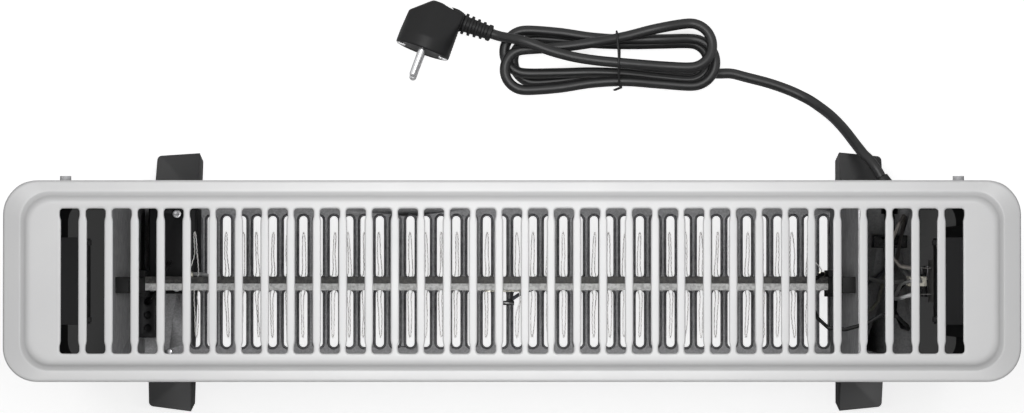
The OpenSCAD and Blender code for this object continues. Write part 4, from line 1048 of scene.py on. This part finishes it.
    def _hull(self, name: str, rings: Sequence[Sequence[Sequence[float]]]) -> bpy.types.Object:
        """Makes the convex hull of some rings of points.

        Args:
            name: Name of its object.
            rings: The rings, in the plug's frame.

        Returns:
            The object.
        """
        work = bmesh.new()
        for ring in rings:
            for p in self._place(ring):
                work.verts.new(p)
        got = bmesh.ops.convex_hull(work, input=work.verts)
        spare = [v for v in got["geom_interior"] if isinstance(v, bmesh.types.BMVert)]
        bmesh.ops.delete(work, geom=spare, context="VERTS")
        mesh = bpy.data.meshes.new(name)
        work.to_mesh(mesh)
        work.free()
        return linked(name, mesh)

    @staticmethod
    def _ring_y(x: float, y: float, z: float, rx: float, rz: float, n: int = 48) -> list[Point]:
        """An ellipse square to the plug's Y axis.

        Args:
            x: X of its middle.
            y: Y of its middle.
            z: Z of its middle.
            rx: Its radius along X.
            rz: Its radius along Z.
            n: How many points it has.

        Returns:
            Its points, in the plug's frame.
        """
        return [(x + rx * math.cos(2 * math.pi * k / n), y, z + rz * math.sin(2 * math.pi * k / n))
                for k in range(n)]

    def _ring_x(self, x: float, ry: float, rz: float, n: int = 48) -> list[Point]:
        """An ellipse square to the plug's X axis, round the sleeve's centre line.

        Args:
            x: X of its middle.
            ry: Its radius along Y.
            rz: Its radius along Z.
            n: How many points it has.

        Returns:
            Its points, in the plug's frame.
        """
        return [(x, self.sleeve_y + ry * math.cos(2 * math.pi * k / n), rz * math.sin(2 * math.pi * k / n))
                for k in range(n)]

    def _plug_body(self) -> bpy.types.Object:
        """The moulded body: a round face, an angular back, and a ribbed sleeve.

        Returns:
            The body.
        """
        r = self.face_r
        body = self._hull("plug_shell", [
            self._ring_y(0, 0.5, 0, r - 0.5, r - 0.5), self._ring_y(0, 1.2, 0, r, r),
            self._ring_y(0, 9, 0, r - 0.1, r - 0.1), self._ring_y(-r + 4, 23.5, 0, 3, 5.2),
            self._ring_y(-r + 4.6, 25, 0, 2, 3.6), self._ring_y(-2, 33, 0, 4.4, 9.2),
            self._ring_y(-2, 34.5, 0, 3, 7), self._ring_x(14, 7.6, 8.6), self._ring_x(18, 6.6, 7.0)])
        groove = [[(3.0 + s, 36.6 - 0.36 * s, z) for s in (0, 13) for z in (-6.2, 6.2)],
                  [(3.9 + s, 32.6 - 0.36 * s, z) for s in (0, 12) for z in (-5.4, 5.4)]]
        cuts = [self._hull("plug_groove", groove)]
        dish = self._ring_y(0, -1, 0, r - 1.8, r - 1.8), self._ring_y(0, 1.1, 0, r - 2.2, r - 2.2)
        cuts.append(self._hull("plug_dish", dish))
        for cut in cuts:
            mod = body.modifiers.new("cut", "BOOLEAN")
            mod.object, mod.operation, mod.solver = cut, "DIFFERENCE", "EXACT"
        remesh = body.modifiers.new("remesh", "REMESH")
        remesh.mode, remesh.voxel_size = "VOXEL", 0.00062
        soften = body.modifiers.new("soften", "SMOOTH")
        soften.factor, soften.iterations = 0.5, 7
        settle(body)
        for cut in cuts:
            bpy.data.objects.remove(cut)
        body.data.shade_smooth()
        sleeve = self._sleeve()
        sleeve.parent = None
        dress(body, Palette.BLACK)
        both = [body, sleeve]
        with bpy.context.temp_override(active_object=body, object=body, selected_editable_objects=both):
            bpy.ops.object.join()
        body.name = "moulded_plug"
        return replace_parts(body, "plug_body")

    def _sleeve(self) -> bpy.types.Object:
        """The bend relief: a tapered core with five ribs, the last one squarer.

        Returns:
            The sleeve.
        """
        profile: list[tuple[float, float]] = [(14.0, 6.6), (18.6, 6.2)]
        for i in range(5):
            x, outer, core = 19.4 + i * 4.2, 7.2 - i * 0.42, 5.4 - i * 0.2
            wide = 3.1 if i == 4 else 2.2
            profile += [(x, core), (x + 0.15, outer - 0.35), (x + 0.5, outer), (x + wide - 0.5, outer),
                        (x + wide - 0.15, outer - 0.3), (x + wide, core - 0.1)]
        last = profile[-1][0]
        profile += [(last, 4.6), (self.sleeve_x - 0.1, 4.4), (self.sleeve_x, 3.9), (self.sleeve_x - 0.2, 3.2)]
        draft = Draft("plug_sleeve")
        draft.loft([self._place(self._ring_x(x, ry, ry * 0.98, 40)) for x, ry in profile], True)
        return draft.build(Palette.BLACK, crease=30)

    def _pins(self) -> bpy.types.Object:
        """Two round pins with turned tips.

        Returns:
            The pins.
        """
        draft = Draft("contact_pins")
        r = self.pin_d / 2
        tip = -self.pin_len
        profile = ((2.0, r - 0.4), (0.4, r - 0.4), (0.4, r), (tip + 1.9, r), (tip + 1.0, r - 0.35),
                   (tip + 0.35, r - 1.0), (tip + 0.05, r - 1.7))
        for side in (-1, 1):
            z = side * self.pin_pitch / 2
            draft.loft([self._place(self._ring_y(0, y, z, q, q, 32)) for y, q in profile], True)
        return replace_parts(draft.build(Palette.NICKEL, crease=40), "plug_pins")

    def _clips(self) -> bpy.types.Object:
        """Two sprung earth clips, bowed out of their grooves at the plug's sides.

        Returns:
            The clips.
        """
        draft = Draft("earth_clips")
        for side in (-1, 1):
            loops = []
            for k in range(13):
                t = k / 12
                x = side * (self.face_r - 1.6 + 0.9 * math.sin(math.pi * min(1.0, t * 1.25)))
                y = 0.25 + t * 13.4
                half = 2.9 - 0.5 * t
                corners_at = ((-0.35, -1), (0.35, -1), (0.35, 1), (-0.35, 1))
                loops.append(self._place([(x + dx, y, side_z * half) for dx, side_z in corners_at]))
            draft.loft(loops, True)
            loops = []
            for k in range(7):
                x = side * (self.face_r - 1.6 - 5.2 * k / 6)
                y = 0.55 - 0.25 * math.sin(math.pi * k / 6)
                loops.append(self._place([(x, y - 0.3, -2.9), (x, y - 0.3, 2.9), (x, y + 0.4, 2.9),
                                          (x, y + 0.4, -2.9)]))
            draft.loft(loops, True)
        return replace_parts(draft.build(Palette.NICKEL), "plug_earth_clips")


# Top cover


@dataclass
class TopCover:
    """The steel cover: skirt, rolled rim, step and slotted grille. Millimetres.

    Attributes:
        width: The cover's length along X, and depth its size along Y.
        corner: Radius of its corners, and step_corner that of the step's.
        top: Height of the grille, and skirt that of the skirt's lower edge.
        sheet: Thickness of the steel, and roll the radius at which the rim turns down.
        rim: Height of the rim along the long sides, and rise how much higher it is at the ends.
        rim_end: Width of the rim at the ends, and rim_side along the long sides.
        slot_count: How many slots there are, slot_pitch apart and slot_len long.
        slot_half: Half the width of a slot, and ear_half half the width of its ends.
        ear_len: Length of a slot's wider end, and ear_round the radius of its corners.
        bar_roll: Radius of a slot's rolled edge.
        tuck: How far below the top the points of that edge's lip lie.
        corner_steps: How many parts a corner has.
        step_profile: The step's slope: distance from the rim, and share of its height.
    """

    width: float = 588.0
    depth: float = 116.5
    corner: float = 20.0
    top: float = 400.0
    rim: float = 395.0
    skirt: float = 381.0
    sheet: float = 1.0
    roll: float = 1.7
    rim_end: float = 10.0
    rim_side: float = 6.3
    step_corner: float = 16.7
    slot_count: int = 35
    slot_pitch: float = 15.0
    slot_len: float = 83.7
    slot_half: float = 5.05
    ear_half: float = 5.7
    ear_len: float = 4.6
    ear_round: float = 1.9
    bar_roll: float = 1.0
    corner_steps: int = 12
    rise: float = 1.8
    tuck: tuple[float, float, float] = (1.9, 2.0, 1.5)
    step_profile: tuple[tuple[float, float], ...] = (
        (-0.4, 0.0), (0.0, -0.03), (0.4, 0.0), (1.0, 0.085), (1.6, 0.20), (2.2, 0.32), (2.7, 0.43),
        (3.0, 0.52), (3.3, 0.61), (3.6, 0.69), (4.0, 0.775), (4.5, 0.86), (5.1, 0.93), (5.8, 0.975),
        (6.6, 0.993), (8.1, 1.0))

    def build(self) -> bpy.types.Object:
        """Builds the cover.

        Returns:
            The cover.
        """
        draft = Draft("slotted_top_cover")
        outer = self._shell(draft)
        self._plateau(draft, outer)
        cover = draft.build(Palette.ENAMEL, crease=50)
        weld = cover.modifiers.new("weld", "WELD")
        weld.merge_threshold = 1e-6
        settle(cover)
        normals = cover.modifiers.new("normals", "WEIGHTED_NORMAL")
        normals.keep_sharp = True
        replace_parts(cover, "top_cover")
        LOG.info("top cover: %d faces", len(cover.data.polygons))
        return cover

    def _loop(self, inset_x: float, inset_y: float, corner: float, z: float,
              z_end: float = 0.0) -> list[Point]:
        """A rounded rectangle at height z, drawn in from the cover's outline.

        Args:
            inset_x: How far it is drawn in at the ends.
            inset_y: How far it is drawn in along the long sides.
            corner: Its corner radius.
            z: Its height.
            z_end: Its height at the two ends, or 0 where it is level.

        Returns:
            The points of the loop.
        """
        lift = z_end - z if z_end else 0.0
        w, d = self.width / 2 - inset_x - corner, self.depth / 2 - inset_y - corner
        out = []
        for sx, sy, start in ((1, 1, 0), (-1, 1, 90), (-1, -1, 180), (1, -1, 270)):
            for k in range(self.corner_steps + 1):
                a = math.radians(start + 90 * k / self.corner_steps)
                out.append((sx * w + corner * math.cos(a), sy * d + corner * math.sin(a),
                            z + lift * math.cos(a) ** 2))
        return out

    def _shell(self, draft: Draft) -> list[Point]:
        """Lofts the skirt, the rim and the step.

        Args:
            draft: Takes the faces.

        Returns:
            The loop at the grille's edge.
        """
        loops = [self._loop(self.sheet, self.sheet, self.corner - self.sheet, z)
                 for z in (self.rim - 3, self.skirt + 0.2)]
        loops += [self._loop(i, i, self.corner - i, z) for i, z in
                  ((self.sheet - 0.2, self.skirt), (0.25, self.skirt), (0.0, self.skirt + 0.3))]
        for k in range(7):
            a = math.radians(15 * k)
            i, z = self.roll * (1 - math.cos(a)), self.rim - self.roll * (1 - math.sin(a))
            loops.append(self._loop(i, i, self.corner - i, z))
        for dx, part in self.step_profile:
            side, end = (foot + (self.top - foot) * part for foot in (self.rim, self.rim + self.rise))
            corner = self.step_corner - dx / 2
            loops.append(self._loop(self.rim_end + dx, self.rim_side + dx, corner, side, end))
        draft.loft(in_metres(loops))
        return loops[-1]

    def _slot(self, x: float, grow: float, z: float) -> list[Point]:
        """The outline of one slot: straight sides, wider ends with round corners.

        Args:
            x: X of its middle.
            grow: How far it is grown outwards.
            z: Its height.

        Returns:
            Its points.
        """
        half, ear, mid = self.slot_len / 2 + grow, self.ear_half + grow, self.slot_half + grow
        r = self.ear_round + grow
        quarter = [(0.0, half), (ear - r, half)]
        arc = [math.radians(18 * k) for k in range(1, 6)]
        quarter += [(ear - r + r * math.sin(a), half - r + r * math.cos(a)) for a in arc]
        neck = half - grow - self.ear_len
        quarter += [(mid + (ear - mid) * (1 - smooth(t)), neck + 0.6 - 3.4 * t) for t in (0.0, 0.3, 0.6, 1.0)]
        quarter.append((mid, 0.0))
        side = quarter + [(px, -py) for px, py in reversed(quarter[:-1])]
        whole = side + [(-px, py) for px, py in reversed(side[1:-1])]
        return [(x + px, py, z) for px, py in whole]

    def _plateau(self, draft: Draft, outer: Sequence[Point]) -> None:
        """Fills the flat top round the slots and rolls every slot's edge down.

        Args:
            draft: Takes the faces.
            outer: The loop at the top of the step.
        """
        rings = []
        for i in range(self.slot_count):
            x = (i - (self.slot_count - 1) / 2) * self.slot_pitch
            rings.append(self._slot(x, self.bar_roll, self.top))
            loops = [rings[-1]]
            for k in range(1, 6):
                a = math.radians(18 * k)
                down = self.bar_roll * (1 - math.cos(a))
                loops.append(self._slot(x, self.bar_roll * (1 - math.sin(a)), self.top - down))
            loops += [self._slot(x, grow, self.top - down)
                      for grow, down in zip((0.0, 0.45, self.bar_roll), self.tuck)]
            draft.loft(in_metres(loops))
        work = bmesh.new()
        edges = []
        for ring in [list(outer), *rings]:
            verts = [work.verts.new([c * MM for c in p]) for p in ring]
            edges += [work.edges.new((verts[k], verts[(k + 1) % len(verts)])) for k in range(len(verts))]
        bmesh.ops.triangle_fill(work, use_beauty=True, use_dissolve=False, edges=edges, normal=(0, 0, 1))
        work.verts.index_update()
        draft.add([v.co for v in work.verts], [[v.index for v in f.verts] for f in work.faces])
        work.free()


# Heating element


@dataclass
class VentCollars:
    """The turned-up edges of the slots in the bottom plate. Millimetres.

    Attributes:
        left_in: Room between the plate's left end and the first slot, and right_in at the other end.
        width: Width of a slot, and count how many there are in a row.
        plate_top: Height of the plate's upper face.
        arc: How many parts a slot's round end has.
        rows: Y of both ends of each row's slots.
        section: The edge's outline: how far it is grown outwards, and its height over the plate.
    """

    left_in: float = 54.7
    right_in: float = 57.5
    width: float = 5.3
    count: int = 42
    plate_top: float = 54.0
    rows: tuple[tuple[float, float], ...] = ((2.5, 42.8), (-42.8, -5.7))
    section: tuple[tuple[float, float], ...] = (
        (1.75, -0.1), (1.55, 0.15), (1.3, 0.8), (1.05, 1.5), (0.85, 1.85), (0.65, 1.9), (0.45, 1.7),
        (0.2, 1.0), (0.05, 0.2), (0.0, -0.6), (-0.02, -1.3))
    arc: int = 8

    def build(self) -> bpy.types.Object:
        """Builds the collars on the CAD plate.

        Returns:
            The collars.
        """
        low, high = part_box("bottom_plate")
        first = low.x / MM + self.left_in + self.width / 2
        last = high.x / MM - self.right_in - self.width / 2
        draft = Draft("vent_collars")
        for i in range(self.count):
            x = first + (last - first) * i / (self.count - 1)
            for row in self.rows:
                loops = [self._ring(x, row, grow, self.plate_top + z) for grow, z in self.section]
                draft.loft(in_metres(loops))
        # The collars take the darker copy of the plate's grey, painted shade.
        return draft.build(Palette.COLLAR, crease=60)

    def _ring(self, x: float, row: tuple[float, float], grow: float, z: float) -> list[Point]:
        """The outline of one slot, grown outwards.

        Args:
            x: X of its middle.
            row: Y of its two ends.
            grow: How far it is grown.
            z: Its height.

        Returns:
            Its points.
        """
        r = self.width / 2
        out = []
        for y, start in ((row[1] - r, 0), (row[0] + r, 180)):
            for k in range(self.arc + 1):
                a = math.radians(start + 180 * k / self.arc)
                out.append((x + (r + grow) * math.cos(a), y + (r + grow) * math.sin(a), z))
        return out


@dataclass
class Winding:
    """A bare resistance wire that hangs in loops on both faces of the board. Millimetres.

    Attributes:
        node: The CAD node that it stands for.
        ends: X of its first and of its last terminal.
        first: X of the middle of its first loop.
        face: 1 where the wire starts at the rear face, or -1.
        pitch: Distance between the loops.
        loops: How many there are.
        board: Y of the front and of the rear face.
        tips: Y of the front and of the rear ends of the loops.
        stub: How far a terminal stands off the board.
        spread: Half the width of a loop at the board.
        z: Height of the board's middle, and rise how far a tip lies over or under it.
        sway: Largest sideways stray of the wire.
        wire_r: Radius of the wire.
        crimp: How far its small waves stray.
        foot: How far it runs straight out from a terminal.
        step: Distance between its points.
    """

    node: str
    ends: tuple[float, float]
    first: float
    face: int
    pitch: float = 9.739
    loops: int = 20
    board: tuple[float, float] = (-5.9, 3.3)
    tips: tuple[float, float] = (-35.7, 31.4)
    stub: tuple[float, float] = (-6.7, 6.1)
    z: float = 130.0
    rise: float = 9.0
    spread: float = 1.25
    sway: float = 0.55
    wire_r: float = 0.36
    crimp: float = 0.16
    step: float = 1.1
    foot: float = 1.4

    def build(self) -> bpy.types.Object:
        """Builds the wire.

        Returns:
            The wire.
        """
        line = spline(np.array(self._line()), self.step)
        count = np.arange(len(line))
        ease = np.minimum(1, np.minimum(count, len(line) - 1 - count) / 8)
        line[:, 0] += self.crimp * np.sin(count * 2.1 + 2.0 * np.sin(count / 31.0)) * ease
        line[:, 2] += self.crimp * np.cos(count * 1.7) * ease
        draft = Draft(self.node + "_coil")
        draft.sweep(line * MM, self.wire_r * MM, 6)
        obj = draft.build(Palette.HOT_WIRE, crease=80)
        LOG.info("%s: %d faces", obj.name, len(obj.data.polygons))
        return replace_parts(obj, self.node)

    def _hairpin(self, x: float, side: int, up: int, bends: np.random.Generator) -> list[Point]:
        """One narrow loop on one face of the board.

        Args:
            x: X of its middle.
            side: 1 for the rear face, 0 for the front face.
            up: 1 where its tip rises, or -1.
            bends: Gives the small irregularities.

        Returns:
            Its points, from board to board.
        """
        out, near, far = 2 * side - 1, self.board[side], self.tips[side]
        tip = x + float(bends.uniform(-0.5, 0.5))
        z = self.z + up * self.rise
        half_way = near + (far - near) * 0.5
        middle = [(x + s * self.spread * 0.7 + float(bends.uniform(-self.sway, self.sway)), half_way,
                   (self.z + z) / 2 + 1.3 * s) for s in (-1, 1)]
        return [(x - self.spread, near, self.z), middle[0], (tip - 0.5, far - out * 1.6, z), (tip, far, z),
                (tip + 0.5, far - out * 1.6, z), middle[1], (x + self.spread, near, self.z)]

    def _line(self) -> list[Point]:
        """The centre line of the loops.

        Returns:
            Its points, from terminal to terminal.
        """
        bends = np.random.default_rng(11)
        start = 1 if self.face > 0 else 0
        points: list[Point] = []
        for i in range(self.loops):
            x, up = self.first + i * self.pitch, 1 if i % 2 == 0 else -1
            points += self._hairpin(x, start, up, bends) + self._hairpin(x, 1 - start, -up, bends)
        (x0, x1), (y0, y1) = self.ends, (self.stub[start], self.stub[1 - start])
        points[0] = (x0, y0 + self.face * self.foot, self.z)
        points[-1] = (x1, y1 - self.face * self.foot, self.z)
        return [(x0, y0, self.z), *points, (x1, y1, self.z)]


# Carried parts


@dataclass(frozen=True)
class Carried:
    """A CAD node that keeps its shape.

    Attributes:
        node: The node.
        finish: Its finish.
        round: Width of its edge rounding in millimetres, or 0.
        crease: Angle in degrees above which an edge stays sharp.
    """

    node: str
    finish: Palette
    round: float = 0.0
    crease: float = 32.0

    def build(self, frame: dict) -> bpy.types.Object:
        """Dresses the node.


        Returns:
            The node's object.
        """
        obj = frame["nodes"][self.node]
        obj.data.materials.clear()
        obj.data.materials.append(self.finish.material())
        obj.data.shade_smooth()
        obj.data.set_sharp_from_angle(angle=math.radians(self.crease))
        if self.round:
            self._round_edges(obj)
        return obj

    def _round_edges(self, obj: bpy.types.Object) -> None:
        """Rounds the sharp edges with modifiers, which leave the node's mesh as it is.

        Args:
            obj: The node's object.
        """
        weld = obj.modifiers.new("weld", "WELD")
        weld.merge_threshold = 2e-6
        bevel = obj.modifiers.new("bevel", "BEVEL")
        bevel.width, bevel.segments, bevel.limit_method = self.round * MM, 2, "ANGLE"
        bevel.angle_limit = math.radians(30)
        bevel.harden_normals = True


# What the scene carries over from the CAD, inside the case and outside
P = Palette
INSIDE: tuple[Carried, ...] = (
    Carried("bottom_plate", P.PLATE, 0.2), Carried("bottom_screws", P.SCREW, 0.15),
    Carried("plate_screws", P.SCREW, 0.15), Carried("foot_screws", P.SCREW, 0.2),
    Carried("left_heat_shield", P.SHEET, 0.25), Carried("right_heat_shield", P.SHEET, 0.25),
    Carried("element_board", P.MICA, 0.2), Carried("element_strip", P.STRIP, 0.2),
    Carried("element_holders", P.HOLDER, 0.5), Carried("element_terminals", P.BRASS, 0.15),
    Carried("thermal_cutout", P.BLACK_GLOSS, 0.4), Carried("tilt_switch", P.DEEP_BLACK, 0.5),
    Carried("tilt_switch_screws", P.SCREW, 0.15), Carried("terminal_block", P.DEEP_BLACK, 0.4),
    Carried("thermostat", P.MICA, 0.4), Carried("thermostat_nut", P.SCREW, 0.15),
    Carried("switch_terminals", P.BRASS, 0.1), Carried("cord_clamp", P.BLACK, 0.3),
    # The clamp screws take the nearly black copy of the screw steel, painted shade.
    Carried("clamp_screws", P.DULL_SCREW, 0.15), Carried("cord_inside", P.RUBBER),
    Carried("live_wire", P.BROWN_LEAD), Carried("neutral_wire", P.BLUE_LEAD),
    Carried("earth_wire", P.GREEN_LEAD), Carried("earth_tag", P.BRASS, 0.1),
    Carried("switch_wire", P.GREY_LEAD), Carried("switch_link", P.GREY_LEAD),
    Carried("element_lead_right", P.LEAD), Carried("element_lead_left", P.GREY_LEAD),
    Carried("tilt_lead", P.LEAD),
)
OUTSIDE: tuple[Carried, ...] = (
    Carried("front_panel", P.PANEL_ENAMEL, 0.4), Carried("rear_panel", P.PANEL_ENAMEL, 0.4),
    Carried("left_end_cap", P.CAP, 0.7), Carried("right_end_cap", P.CAP, 0.7),
    Carried("left_foot", P.BLACK, 0.6), Carried("right_foot", P.BLACK, 0.6),
    Carried("rear_screws", P.SCREW, 0.15), Carried("wall_spacers", P.SPACER, 0.5),
    Carried("thermostat_spindle", P.SCREW, 0.15),
    Carried("thermostat_knob", P.BLACK, 0.35), Carried("upper_switch_housing", P.BLACK_GLOSS, 0.35),
    Carried("upper_rocker", P.BLACK_GLOSS, 0.4), Carried("lower_switch_housing", P.BLACK_GLOSS, 0.35),
    Carried("lower_rocker", P.BLACK_GLOSS, 0.4), Carried("pilot_lamp", P.LENS, 0.2),
    Carried("cord_bushing", P.BLACK, 0.3),
)


# Main


def main() -> None:
    """Builds the whole scene."""
    logging.basicConfig(level=logging.INFO, format="%(message)s")
    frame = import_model()
    studio = Studio()
    studio.build()
    MainsCord().build()
    studio.light_only("skirt", [TopCover().build()], SKIRT_LAMPS)
    inside = [part.build(frame) for part in INSIDE]
    inside += [VentCollars().build(), Winding("left_heating_wire", (-205.0, -15.4), -201.0, 1).build(),
               Winding("right_heating_wire", (7.4, 197.0), 3.52, -1).build()]
    outside = [part.build(frame) for part in OUTSIDE]
    studio.light_only("inside", inside, INSIDE_LAMPS)
    studio.light_only("sides", outside, SIDE_LAMPS, alone=False)
    studio.light_only("caps", [frame["nodes"][name] for name in ("left_end_cap", "right_end_cap")], CAP_LAMPS)
    LOG.info("carried parts: %d", len(INSIDE) + len(outside))


if __name__ == "__main__":
    main()
